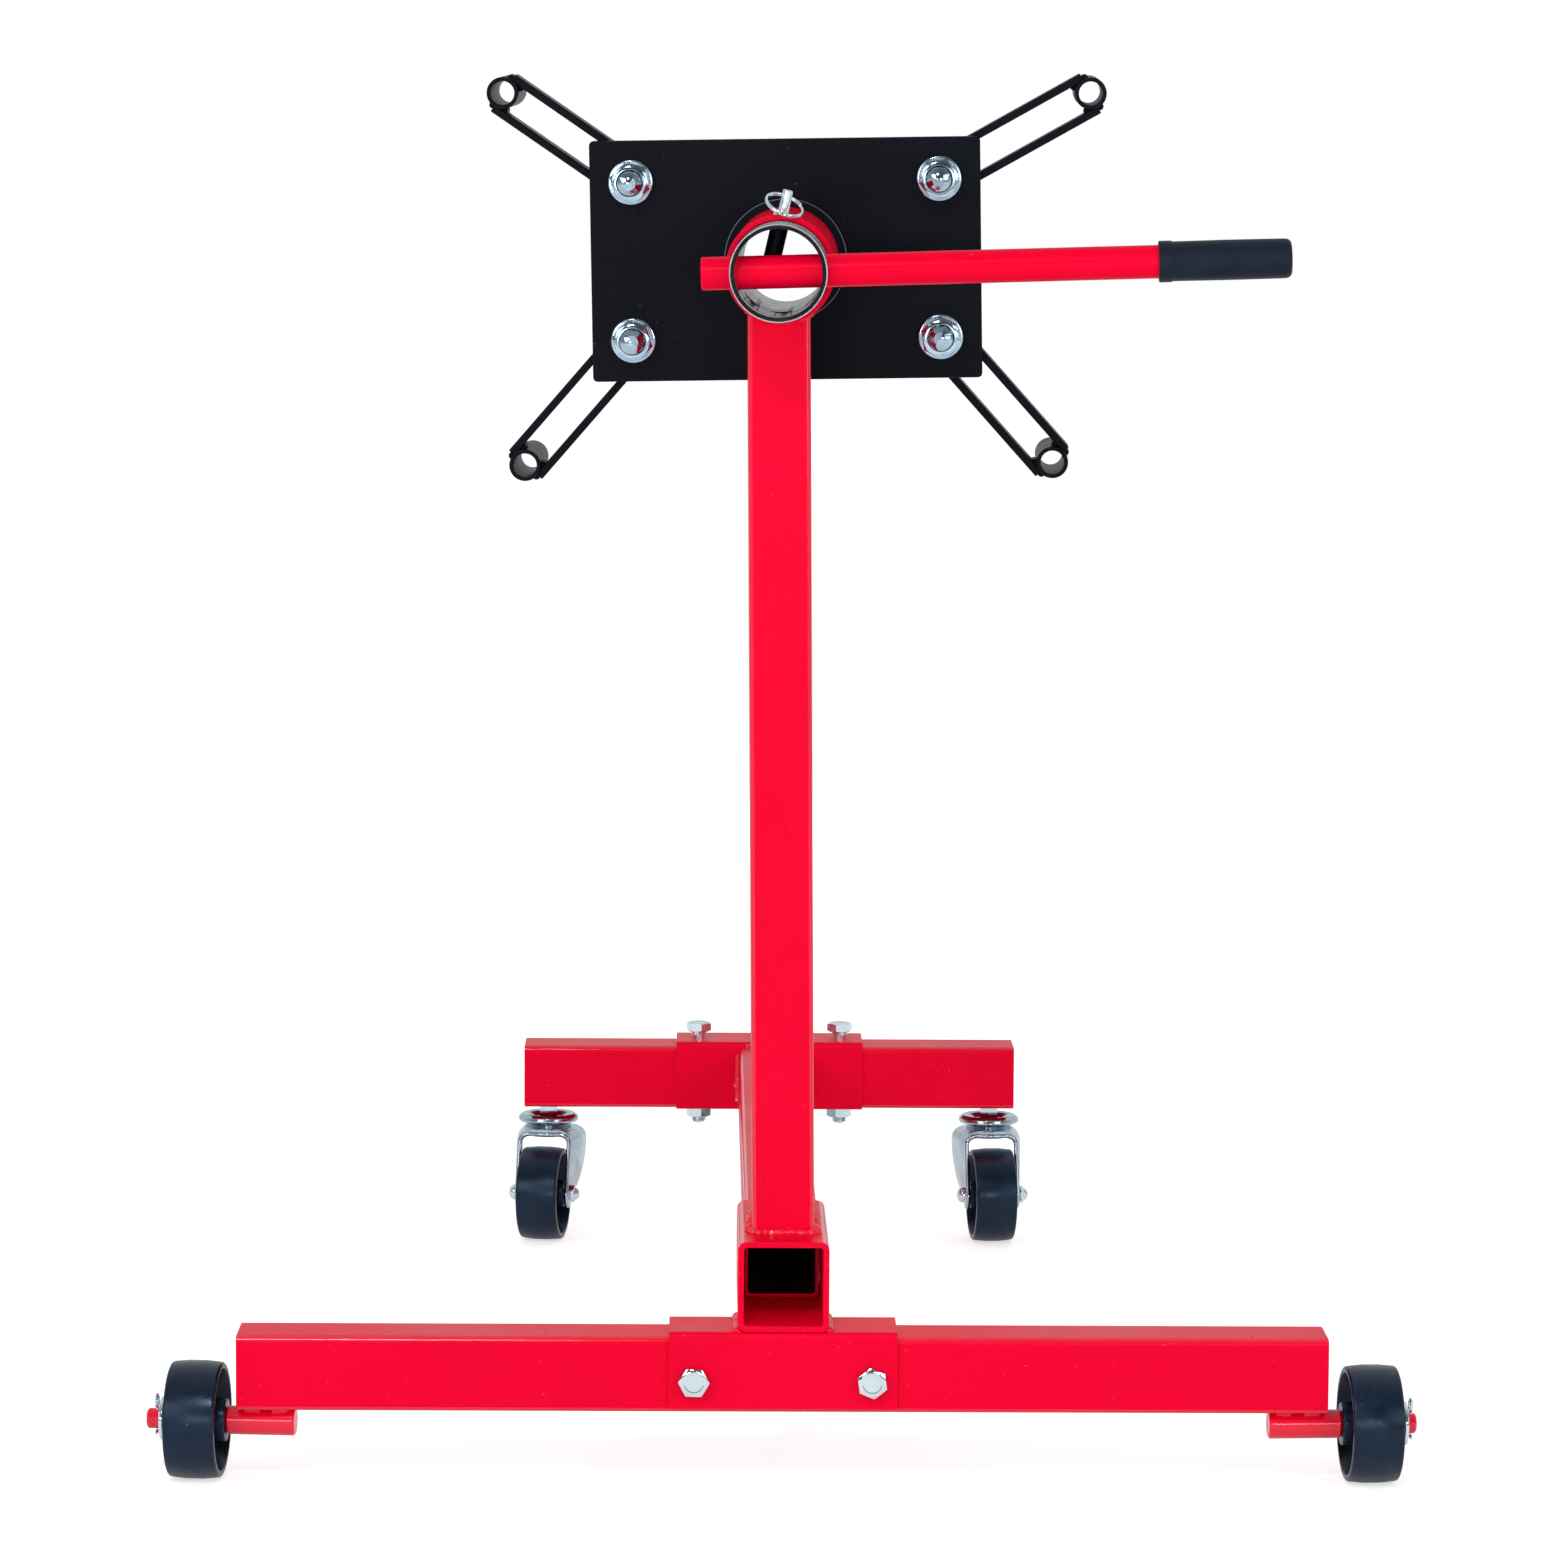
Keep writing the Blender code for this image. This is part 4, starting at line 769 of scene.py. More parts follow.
def cotter_shape(low, high, journal):
    """Split wire folded on itself: an eye on top, two legs down through the axle, their tips bent apart."""
    eye = (high - journal) / 2 - COTTER_WIRE
    eye_z = high - COTTER_WIRE - eye
    lean = math.asin(COTTER_WIRE / eye)
    leg = [Vector((COTTER_SPREAD, 0, low + COTTER_TIP)), Vector((COTTER_WIRE, 0, -journal - COTTER_CLEAR))]
    loop = []
    for step in range(EYE_STEPS + 1):
        turn = lean + (2 * math.pi - 2 * lean) * step / EYE_STEPS
        loop.append(Vector((eye * math.sin(turn), 0, eye_z - eye * math.cos(turn))))
    other_leg = [Vector((-point.x, 0, point.z)) for point in reversed(leg)]
    path = spaced(leg + loop + other_leg, COTTER_STEP)
    return swept(path, [COTTER_WIRE] * len(path), Y_AXIS, COTTER_SIDES)


WHEEL_SKIN = {"sheen": 0.22, "rough": 0.36, "drift": 55.0, "speck_share": 0.40, "shine": 0.45}
wheel_black = moulded_black("wheel_moulding", WHEEL_BLACK, WHEEL_SCUFF, WHEEL_SPECK, **WHEEL_SKIN)
for hand, sign in HANDS:
    centre = Vector(JOINTS[f"front_wheel_{hand}_spin"]["pos_m"])
    spin = sign * Vector(JOINTS[f"front_wheel_{hand}_spin"]["axis"])
    place = aimed(centre, spin, Z_AXIS)
    low, high, bore, radius = reach_of(f"front_wheel_{hand}", centre, spin)
    shape = wheel_shape(radius * FLOOR_TOUCH, FRONT_HALF, FRONT_HUB, -low, high, bore)
    stands_for(piece_of(f"front_wheel_{hand}_moulding", shape, place), wheel_black, f"front_wheel_{hand}")
    low, high, bore, radius = reach_of(f"wheel_washer_{hand}", centre, spin)
    shape = turned(eased(tube_corners(bore, radius, low, high, WASHER_EASE)))
    stands_for(piece_of(f"wheel_washer_{hand}_disc", shape, place), zinc, f"wheel_washer_{hand}")
    pin_low, pin_high = reach_of(f"cotter_pin_{hand}", centre, spin)[:2]
    pin_at = centre + (pin_low + pin_high) / 2 * spin
    low, high = reach_of(f"cotter_pin_{hand}", centre, Z_AXIS)[:2]
    place = aimed(pin_at, Z_AXIS, Z_AXIS.cross(spin))
    pin = piece_of(f"cotter_pin_{hand}_wire", cotter_shape(low, high, JOURNAL_RADIUS), place)
    stands_for(pin, zinc, f"cotter_pin_{hand}")

# Casters: a threaded stem with a hexagon holds a dished cap, and a pressed fork swivels on balls under it.
# The fork is one stamping of zinc-plated steel, and the wheel runs on a bolt with a domed head and a nut.
FORK_SHEET = 0.0032
FORK_BEND = 0.0085
FORK_FOOT = 0.0098
FORK_TOP = 0.0190
FORK_BULGE = 0.0060
FORK_FULLNESS = 0.55
FORK_DROP = 0.0046
FORK_DISC = 0.0222
FORK_TOE, TOE_LIFT = 0.0001, 0.00001
FORK_ROOM = 0.002
FOOT_STEPS, LEG_STEPS, BEND_STEPS, DEEP_STEPS = 8, 14, 6, 12
PRESSED_EDGE = 0.0007
PRESSED_FROM = math.radians(50)
ROLLED_EDGE = 0.0019
ROLLED_BACK = 0.0004
ROLLED_SIDES = 14
RACE_RADIUS = 0.0205
RACE_BORE = 0.0109
RACE_SUNK, RACE_CLEAR, RACE_LIP = 0.0012, 0.0008, 0.0014
RACE_TOP = 0.80
DOME_STEPS = 8
DOME_FOOT = 0.80
STAMPED_DARK = (0.32, 0.41, 0.48, 1)
STAMPED_PALE = (0.52, 0.63, 0.70, 1)
CAP_SHEET = 0.0022
CAP_DROP, CAP_SKIRT, CAP_BRIM, CAP_LIP = 0.0012, 0.0042, 0.0016, 0.0014
CAP_FLOOR, CAP_CROWN, CAP_SHOULDER, CAP_HOLLOW = 0.52, 0.70, 0.86, 0.80
SKIRT_DRAFT, HOLLOW_RISE = 0.0006, 0.0003
CASTER_NUT_FLATS = 0.0122
CASTER_NUT_SEAT = 0.45
STEM_FLATS = 0.014
STEM_RADIUS = 0.00525
STEM_END, STEM_END_HEIGHT, STEM_CHAMFER = 0.010, 0.004, 0.001
CASTER_HUB = 0.0105
CASTER_HUB_PROUD = 0.0012
CASTER_SHANK = 0.00475
CASTER_DOME, CASTER_DOME_FOOT = 0.0064, 0.0008
THREAD_IN_NUT = 0.0010
SMALL_SIDES = 48


def fork_rows(axle, top, half, disc):
    """Rows of points over the pressed fork in its own space: up one leg, over its top, down the other."""
    middle = half + FORK_SHEET / 2
    bend_z = top - FORK_SHEET / 2
    shoulder = bend_z - FORK_BEND
    foot = axle.z - FORK_FOOT
    section = []
    for step in range(FOOT_STEPS + 1):
        rise = FORK_FOOT * (1 - math.cos(math.pi / 2 * step / FOOT_STEPS))
        section.append((-middle, foot + rise + TOE_LIFT))
    leg = shoulder - axle.z
    section += [(-middle, axle.z + leg * step / LEG_STEPS) for step in range(1, LEG_STEPS + 1)]
    for step in range(1, BEND_STEPS + 1):
        turn = math.pi / 2 * step / BEND_STEPS
        section.append((-middle + FORK_BEND * (1 - math.cos(turn)), shoulder + FORK_BEND * math.sin(turn)))
    inner = middle - FORK_BEND
    section += [(-inner + inner * step / BEND_STEPS, bend_z) for step in range(1, BEND_STEPS + 1)]
    section += [(-x, z) for x, z in reversed(section[:-1])]
    rows = []
    for x, z in section:
        rise = min(1.0, max(0.0, (z - axle.z) / leg))
        full = math.sin(math.pi / 2 * rise) ** FORK_FULLNESS
        foot_half = math.sqrt(max(FORK_FOOT**2 - max(0.0, axle.z - z) ** 2, FORK_TOE**2))
        front = (1 - rise) * (axle.y - foot_half) - rise * FORK_TOP
        back = (1 - full) * (axle.y + foot_half) + full * FORK_TOP
        if z > shoulder:
            round_edge = math.sqrt(max(disc**2 - x * x, FORK_TOP**2))
            share = (z - shoulder) / FORK_BEND
            front = (1 - share) * front - share * round_edge
            back = (1 - share) * back + share * round_edge
        row = []
        for step in range(DEEP_STEPS + 1):
            behind = step / DEEP_STEPS
            bulge = FORK_BULGE * x / middle * full * behind * (2 - behind)
            row.append(Vector((x + bulge, front + (back - front) * behind, z)))
        rows.append(row)
    return rows


def sheet_shape(rows):
    """A sheet through rows of points."""
    shape = bmesh.new()
    lines = [[shape.verts.new(point) for point in row] for row in rows]
    for near, far in zip(lines, lines[1:]):
        for step in range(len(near) - 1):
            shape.faces.new((near[step], near[step + 1], far[step + 1], far[step]))
    return shape


def domed(radius, base, height):
    """Rings of a shallow dome from its rim to its middle."""
    rings = []
    for step in range(DOME_STEPS + 1):
        turn = math.pi / 2 * step / DOME_STEPS
        rings.append((radius * math.cos(turn) if step < DOME_STEPS else 0, base + height * math.sin(turn)))
    return rings


def acorn_shape(flats, seat, height):
    """A domed nut on z = 0: a short hexagon with a round cap over the end of the thread."""
    rings = hex_rings(flats, 0, seat) + domed(DOME_FOOT * flats / 2, seat, height - seat)
    return turned([(0, 0)] + rings)


STAMPED = (STAMPED_DARK, STAMPED_PALE, ZINC_DULL)
stamped_zinc = plated_steel("stamped_zinc", *STAMPED, shine=0.10, rough=0.20, grain=0.008)
for hand, _ in HANDS:
    swivel = Vector(JOINTS[f"caster_{hand}_swivel"]["pos_m"])
    wheel_at = Vector(JOINTS[f"caster_{hand}_spin"]["pos_m"])
    across = Vector(JOINTS[f"caster_{hand}_spin"]["axis"])
    trail = (wheel_at - Vector((swivel.x, swivel.y, wheel_at.z))).normalized()
    turned_place = aimed(Vector((swivel.x, swivel.y, 0)), Z_AXIS, across)

    low, high, bore, rim = reach_of(f"caster_{hand}_cap", swivel, Z_AXIS)
    dish = [
        (bore, low + CAP_SHEET, 0.0004),
        (CAP_FLOOR * rim, low + CAP_SHEET, 0.0012),
        (CAP_CROWN * rim, high - CAP_SHEET, 0.0015),
        (CAP_SHOULDER * rim, high - CAP_DROP, 0.0015),
        (rim - SKIRT_DRAFT, low + CAP_SKIRT, 0.0015),
        (rim, low + CAP_BRIM, 0.0012),
        (rim - CAP_LIP, low, 0.0007),
        (CAP_HOLLOW * rim, low + HOLLOW_RISE, 0.0006),
        (bore, low, 0.0004),
    ]
    upright = aimed(swivel, Z_AXIS, X_AXIS)
    cap = piece_of(f"caster_{hand}_dished_cap", turned(eased(dish)), upright)
    stands_for(cap, stamped_zinc, f"caster_{hand}_cap")

    hex_low = low + CAP_SHEET
    low, high = reach_of(f"caster_{hand}_stem", swivel, Z_AXIS)[:2]
    hex_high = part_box("short_crossbar")[0].z - SEAT_GAP
    head_top = low + STEM_END_HEIGHT
    rings = [(0, low), (STEM_END - STEM_CHAMFER, low), (STEM_END, low + STEM_CHAMFER), (STEM_END, head_top)]
    rings += [(STEM_RADIUS, head_top), (STEM_RADIUS, hex_low)] + hex_rings(STEM_FLATS, hex_low, hex_high)
    rings += [(STEM_RADIUS, hex_high)]
    rings += thread_rings(STEM_RADIUS, hex_high, high - STEM_CHAMFER, M10_PITCH) + [(0, high)]
    stem = piece_of(f"caster_{hand}_threaded_stem", turned(rings), upright)
    stands_for(stem, zinc, f"caster_{hand}_stem")

    high = reach_of(f"caster_{hand}_fork", swivel, Z_AXIS)[1]
    inner_half = reach_of(f"caster_{hand}_wheel", wheel_at, across)[1] + FORK_ROOM
    axle_at = turned_place.inverted() @ wheel_at
    fork_top = turned_place.inverted() @ (swivel + high * Z_AXIS)
    rows = fork_rows(axle_at, fork_top.z - FORK_DROP, inner_half, FORK_DISC)
    fork = piece_of(f"caster_{hand}_pressed_fork", sheet_shape(rows))
    fork.data.transform(turned_place)
    sheet = fork.modifiers.new("sheet", "SOLIDIFY")
    sheet.thickness = FORK_SHEET
    sheet.offset = 0
    rounding = fork.modifiers.new("pressed_edges", "BEVEL")
    rounding.width = PRESSED_EDGE
    rounding.segments = 2
    rounding.limit_method = "ANGLE"
    rounding.angle_limit = PRESSED_FROM
    fork.modifiers.move(0, 2)
    stands_for(fork, stamped_zinc, f"caster_{hand}_fork")
    race_low, race_high = high - FORK_DROP - RACE_SUNK, high - RACE_CLEAR
    race = [
        (RACE_BORE, race_low, 0),
        (RACE_RADIUS, race_low, 0),
        (RACE_RADIUS, race_low + RACE_LIP, 0.0012),
        (RACE_TOP * RACE_RADIUS, race_high, 0.0030),
        (RACE_BORE, race_high, 0.0004),
    ]
    race_piece = piece_of(f"caster_{hand}_raceway", turned(eased(race)), upright)
    goes_on(race_piece, stamped_zinc, f"caster_{hand}")
    highest = max(row[0].z for row in rows)
    fold = []
    for row in rows:
        hang = ROLLED_EDGE * max(0.0, 1 - (highest - row[0].z) / FORK_BEND)
        fold.append(turned_place @ (row[0] + Vector((0, ROLLED_BACK, -hang))))
    roll = swept(fold, [ROLLED_EDGE] * len(fold), trail, ROLLED_SIDES)
    goes_on(piece_of(f"caster_{hand}_rolled_edge", roll), stamped_zinc, f"caster_{hand}")

    low, high, bore, radius = reach_of(f"caster_{hand}_wheel", wheel_at, across)
    hub_end = high + CASTER_HUB_PROUD
    shape = wheel_shape(radius * FLOOR_TOUCH, high, CASTER_HUB, hub_end, hub_end, bore)
    wheel = piece_of(f"caster_{hand}_moulding", shape, aimed(wheel_at, across, trail))
    stands_for(wheel, wheel_black, f"caster_{hand}_wheel")

    low = reach_of(f"caster_{hand}_axle", wheel_at, across)[0]
    leg_face = reach_of(f"caster_{hand}_nut", wheel_at, across)[0]
    thread_end = leg_face + THREAD_IN_NUT
    dome_foot = -leg_face - CASTER_DOME_FOOT
    rings = [(0, thread_end), (CASTER_SHANK, thread_end), (CASTER_SHANK, -leg_face), (CASTER_DOME, -leg_face)]
    rings += domed(CASTER_DOME, dome_foot, low - dome_foot)
    axle = piece_of(f"caster_{hand}_domed_bolt", turned(rings, SMALL_SIDES), aimed(wheel_at, across, trail))
    stands_for(axle, zinc, f"caster_{hand}_axle")
    seat = wheel_at + across * leg_face
    nut_height = reach_of(f"caster_{hand}_nut", seat, across)[1]
    acorn = acorn_shape(CASTER_NUT_FLATS, CASTER_NUT_SEAT * nut_height, nut_height)
    nut = piece_of(f"caster_{hand}_domed_nut", acorn, aimed(seat, across, trail))
    stands_for(nut, zinc, f"caster_{hand}_nut")

# Post: rectangular steel tube, coped at the top to sit under the collar, and welded to the socket's roof.
# The welds at its foot are thick and uneven, with spatter under the paint, shown as pale specks that are also
# painted glints.
POST_WALL = 0.003
POST_CORNER = 0.0042
POST_FOOT_WELD, POST_FOOT_LUMPS = 0.0031, 0.26
POST_TOP_WELD = 0.0026
COPE_STEP = 3 * WELD_STEP
head_at = Vector(JOINTS["head_turn"]["pos_m"])
head_along = Vector(JOINTS["head_turn"]["axis"]).normalized()
head_side = head_along.cross(Z_AXIS).normalized()
collar_back, collar_front, collar_bore, collar_round = reach_of("pivot_collar", head_at, head_along)
post_low, post_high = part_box("post")


def under_collar(x, y):
    """Height of the collar's underside over a point of the post."""
    ahead = (y - head_at.y) / head_along.y
    off = x - head_at.x - ahead * head_along.x
    return head_at.z + ahead * head_along.z - math.sqrt(collar_round**2 - off * off)


post_width = 2 * post_high.x
post_lean = post_low.x + post_high.x
post_depth = post_high.y - post_low.y
post_y = (post_low.y + post_high.y) / 2
outline = box_outline(post_width, post_depth, POST_CORNER)
bore = box_outline(post_width - 2 * POST_WALL, post_depth - 2 * POST_WALL, POST_CORNER - POST_WALL)
upright = Matrix.Translation((0, post_y, 0))
post = piece_of("post_tube", bar_shape(outline, post_low.z, head_at.z, bore), upright, SAWN_EDGE)
gloss_corners(post)
for vertex in post.data.vertices:
    if vertex.co.z > head_at.z / 2:
        vertex.co.x += post_lean
        vertex.co.z = under_collar(vertex.co.x, vertex.co.y)
stands_for(post, red_paint, "post", inside=tube_inside_painted_shade)
around = [Vector((point.x, point.y + post_y, 0)) for point in outline]
around.append(around[0])
foot_path = [Vector((point.x, point.y, post_low.z)) for point in around]
weld("post_weld_foot", foot_path, Z_AXIS, "post foot", POST_FOOT_WELD, POST_FOOT_LUMPS)
top_path = []
for point in spaced(around, COPE_STEP):
    x = point.x + post_lean
    top_path.append(Vector((x, point.y, under_collar(x, point.y))))
weld("post_weld_top", top_path, Z_AXIS, "post top", POST_TOP_WELD)

# Collar: thick-walled red tube across the top of the post, bored for the turning pipe.
# Its ends are faced and its top is drilled for the lock pin.
COLLAR_CHAMFER = 0.0010
SLEEVE_SIDES = 128
RING_SHARE = 0.75
PIN_HOLE = 0.0042
HOLE_SIDES = 40
DRILL_HALF = 0.03


def sleeve(name, low, high, inner, outer, ease):
    """A plain tube on the head's axis with eased ends, its near face split by a ring near its edge."""
    corners = tube_corners(inner, outer, low, high, ease)
    corners.insert(1, (inner + RING_SHARE * (outer - inner), low, 0))
    return piece_of(name, turned(eased(corners), SLEEVE_SIDES), aimed(head_at, head_along, X_AXIS))


def second_finish(piece, chosen):
    """Gives a piece's second finish to its faces chosen by their place along and off the head's axis."""
    for face in piece.data.polygons:
        step = face.center - head_at
        along = step.dot(head_along)
        if chosen(along, (step - along * head_along).length):
            face.material_index = 1


def drill(name, radius, low, high, sides, place):
    """A rod to cut with, along local Z."""
    return piece_of(name, turned([(0, low), (radius, low), (radius, high), (0, high)], sides), place)


def drilled(piece, drills):
    """Cuts drills out of a piece and keeps the result as its own smooth mesh."""
    for number, tool in enumerate(drills):
        cut = piece.modifiers.new(f"drill_{number}", "BOOLEAN")
        cut.object = tool
        cut.solver = "EXACT"
        piece.modifiers.move(len(piece.modifiers) - 1, 0)
    bpy.context.view_layer.update()
    done = bpy.data.meshes.new_from_object(piece.evaluated_get(bpy.context.evaluated_depsgraph_get()))
    done.shade_smooth()
    done.set_sharp_from_angle(angle=CRISP)
    piece.modifiers.clear()
    piece.data = done
    for tool in drills:
        bpy.data.objects.remove(tool)


pin_low, pin_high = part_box("lock_pin")
pin_at = (pin_low + pin_high) / 2
pin_along = -Vector(JOINTS["lock_pin_slide"]["axis"]).normalized()
pin_station = (pin_at - head_at).dot(head_along)
collar = sleeve("pivot_collar_tube", collar_back, collar_front, collar_bore, collar_round, COLLAR_CHAMFER)
pin_place = aimed(pin_at, pin_along, X_AXIS)
drilled(collar, [drill("pin_drill", PIN_HOLE, -DRILL_HALF, DRILL_HALF, HOLE_SIDES, pin_place)])
stands_for(collar, red_paint, "pivot_collar", inside=tube_inside_painted_shade)
# The collar's bore takes the near-black inside finish: painted shade.
second_finish(collar, lambda along, off: off < collar_bore + COLLAR_CHAMFER / 4)

# Turning pipe: bare steel tube through the collar, with lock holes round it and a cross hole for the handle.
# Its near rim is bright steel with the inner half of its face painted near black as shade, and its far end is
# welded into the plate.
LOCK_HOLE_RADIUS = 0.0068
LOCK_HOLES = 8
DRILL_FROM, DRILL_TO = 0.6, 1.4
HANDLE_PLAY = 0.0005
CROSS_SIDES = 48
HEAD_ROLL = math.radians(1.1)
RIM_CHAMFER = 0.0009
STEEL_DEPTH = 0.0003
STEEL = (0.40, 0.41, 0.44, 1)
STEEL_DARK = (0.20, 0.20, 0.23, 1)


def turned_steel():
    """Bare tube: bright where it was turned, with grey mill clouds and dark specks."""
    finish, tree, shader = finish_named("bare_tube_steel")
    clouds = use(tree, CLOUDS, Drift_Scale=45.0, Pebble_Scale=1100.0, Speck_Scale=420.0, Speck_Share=0.7)
    colour = tinted(tree, ranged(tree, clouds["Drift"], 0.0, 1.0, 0.0, 0.45), STEEL, STEEL_DARK)
    feed(tree, shader.inputs["Base Color"], tinted(tree, clouds["Specks"], colour, STEEL_DARK))
    feed(tree, shader.inputs["Roughness"], ranged(tree, clouds["Drift"], 0.0, 1.0, 0.30, 0.48))
    bumped(tree, shader, clouds["Height"], 0.2, STEEL_DEPTH)
    shader.inputs["Metallic"].default_value = 1.0
    return finish


bare_steel = turned_steel()
low, high, bore, radius = reach_of("rotating_pipe", head_at, head_along)
pipe = sleeve("rotating_pipe_tube", low, high, bore, radius, RIM_CHAMFER)
drill_start, drill_end = DRILL_FROM * radius, DRILL_TO * radius
drills = []
for number in range(LOCK_HOLES):
    turn = 2 * math.pi * number / LOCK_HOLES - HEAD_ROLL
    out = math.cos(turn) * head_side.cross(head_along) + math.sin(turn) * head_side
    place = aimed(head_at + pin_station * head_along, out, head_along)
    tool = drill(f"lock_drill_{number}", LOCK_HOLE_RADIUS, drill_start, drill_end, HOLE_SIDES, place)
    drills.append(tool)
handle_low, handle_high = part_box("handle_bar")
handle_at = (handle_low + handle_high) / 2
handle_along = Vector(JOINTS["handle_slide"]["axis"]).normalized()
handle_back, handle_front, _, handle_radius = reach_of("handle_bar", handle_at, handle_along)
cross_hole = handle_radius + HANDLE_PLAY
crossing = handle_at - handle_along * (handle_at.x - head_at.x) / handle_along.x
place = aimed(crossing, handle_along, head_along)
drills.append(drill("handle_drill", cross_hole, -drill_end, drill_end, CROSS_SIDES, place))
drilled(pipe, drills)
stands_for(pipe, bare_steel, "rotating_pipe", inside=shaded_steel)
# The inner half of the near rim's face takes the near-black steel: painted shade.
rim_middle, rim_depth = bore + RING_SHARE * (radius - bore), low + RIM_CHAMFER / 2
second_finish(pipe, lambda along, off: off < rim_middle and along < rim_depth)

# Mounting plate and its flange ring: 10 mm steel plate and a ring behind the collar, painted satin black.
# The arms' four bolts pass through the plate, and handling has left faint smears and specks on it.
PLATE_WIDTH, PLATE_HEIGHT = 0.260, 0.160
PLATE_EDGE = 0.0009
PLATE_CORNER = 0.0035
PLATE_RAYS = 0.006
FLANGE_EASE = 0.0011
# How wide and deep the flange's painted highlight reaches on its front rim.
HIGHLIGHT_WIDTH, HIGHLIGHT_DEPTH = 0.0008, 0.0005
BLACK = (0.0022, 0.0028, 0.0052, 1)
BLACK_SMEAR = (0.0052, 0.0070, 0.0130, 1)
# The paint's edge and dust greys, also the colours of the flange's painted highlight.
BLACK_EDGE_AND_HIGHLIGHT = (0.050, 0.055, 0.070, 1)
BLACK_DUST_AND_HIGHLIGHT = (0.15, 0.17, 0.21, 1)


def plate_shape(width, height, low, high, bore):
    """A plate round local Z with a round hole, its faces split in rays from the hole to the edge."""
    corners = [Vector((point.x, point.y)) for point in box_outline(width, height, PLATE_CORNER)]
    rim = spaced(corners + corners[:1], PLATE_RAYS)[:-1]
    hole = [point.normalized() * bore for point in rim]
    return bar_shape(rim, low, high, hole)


BLACK_COAT = (BLACK_SMEAR, BLACK, BLACK_EDGE_AND_HIGHLIGHT, BLACK_DUST_AND_HIGHLIGHT)
HIGHLIGHT_COAT = (BLACK_DUST_AND_HIGHLIGHT, BLACK_EDGE_AND_HIGHLIGHT, BLACK_DUST_AND_HIGHLIGHT, BLACK_DUST_AND_HIGHLIGHT)
HIGHLIGHT_SKIN = {"gloss": 0.30, "dull": 0.40, "pebble": 0.1, "shine": 0.3}
black_paint = sprayed_paint("black_enamel", *BLACK_COAT, gloss=0.30, dull=0.44, pebble=0.16, shine=0.05)
flange_highlight = sprayed_paint("black_enamel_painted_highlight", *HIGHLIGHT_COAT, **HIGHLIGHT_SKIN)
low, high, bore, radius = reach_of("plate_flange", head_at, head_along)
flange = sleeve("plate_flange_ring", low, high, bore, radius, FLANGE_EASE)
stands_for(flange, black_paint, "plate_flange", inside=flange_highlight)
# The front rim of the flange takes the pale grey enamel: a painted highlight.
highlight_from, highlight_to = low, low + HIGHLIGHT_DEPTH
brim = radius - HIGHLIGHT_WIDTH
second_finish(flange, lambda along, off: highlight_from < along < highlight_to and off > brim)
low, high, bore = reach_of("mounting_plate", head_at, head_along)[:3]
left_bolt, right_bolt = [Vector(JOINTS[f"arm_upper_{hand}_swing"]["pos_m"]) for hand, _ in HANDS]
plate_place = aimed(head_at, head_along, right_bolt - left_bolt)
shape = plate_shape(PLATE_WIDTH, PLATE_HEIGHT, low, high, bore)
stands_for(piece_of("mounting_plate_slab", shape, plate_place, PLATE_EDGE), black_paint, "mounting_plate")

# Turning handle: a red-painted round bar that slides through the pipe, faced square at its left end.
# A dipped blue-black grip with a lip and a round end is pushed over its right end.
HANDLE_CHAMFER = 0.0009
GRIP_RADIUS = 0.0127
GRIP_PLAY = 0.0002
GRIP_SWELL, SWELL_ROUND = 0.0002, 0.05
GRIP_LIP, LIP_LENGTH, LIP_END = 0.0006, 0.0075, 0.0095
GRIP_END_ROUND, GRIP_END_WALL = 0.0048, 0.0042
GRIP_BLACK = (0.0080, 0.0115, 0.0200, 1)
GRIP_SCUFF = (0.0140, 0.0190, 0.0330, 1)
GRIP_SPECK = (0.045, 0.055, 0.085, 1)

handle_place = aimed(handle_at, handle_along, Y_AXIS)
outline = [(0, handle_back), (handle_radius - HANDLE_CHAMFER, handle_back)]
outline += [(handle_radius, handle_back + HANDLE_CHAMFER), (handle_radius, handle_front), (0, handle_front)]
stands_for(piece_of("handle_round_bar", turned(outline), handle_place), red_paint, "handle_bar")
GRIP_SKIN = {"sheen": 0.38, "rough": 0.52, "drift": 32.0, "speck_share": 0.25, "shine": 0.14}
grip_black = moulded_black("dipped_grip", GRIP_BLACK, GRIP_SCUFF, GRIP_SPECK, **GRIP_SKIN)
low, high, hole = reach_of("handle_grip", handle_at, handle_along)[:3]
grip_bore = handle_radius + GRIP_PLAY
grip = [
    (grip_bore, low, 0.0004),
    (GRIP_RADIUS + GRIP_LIP, low, 0.0010),
    (GRIP_RADIUS + GRIP_LIP, low + LIP_LENGTH, 0.0020),
    (GRIP_RADIUS, low + LIP_END, 0.0030),
    (GRIP_RADIUS + GRIP_SWELL, (low + high) / 2, SWELL_ROUND),
    (GRIP_RADIUS, high, GRIP_END_ROUND),
    (hole, high, 0.0006),
    (hole, high - GRIP_END_WALL, 0),
    (grip_bore, high - GRIP_END_WALL, 0),
]
stands_for(piece_of("handle_grip_sleeve", turned(eased(grip)), handle_place), grip_black, "handle_grip")

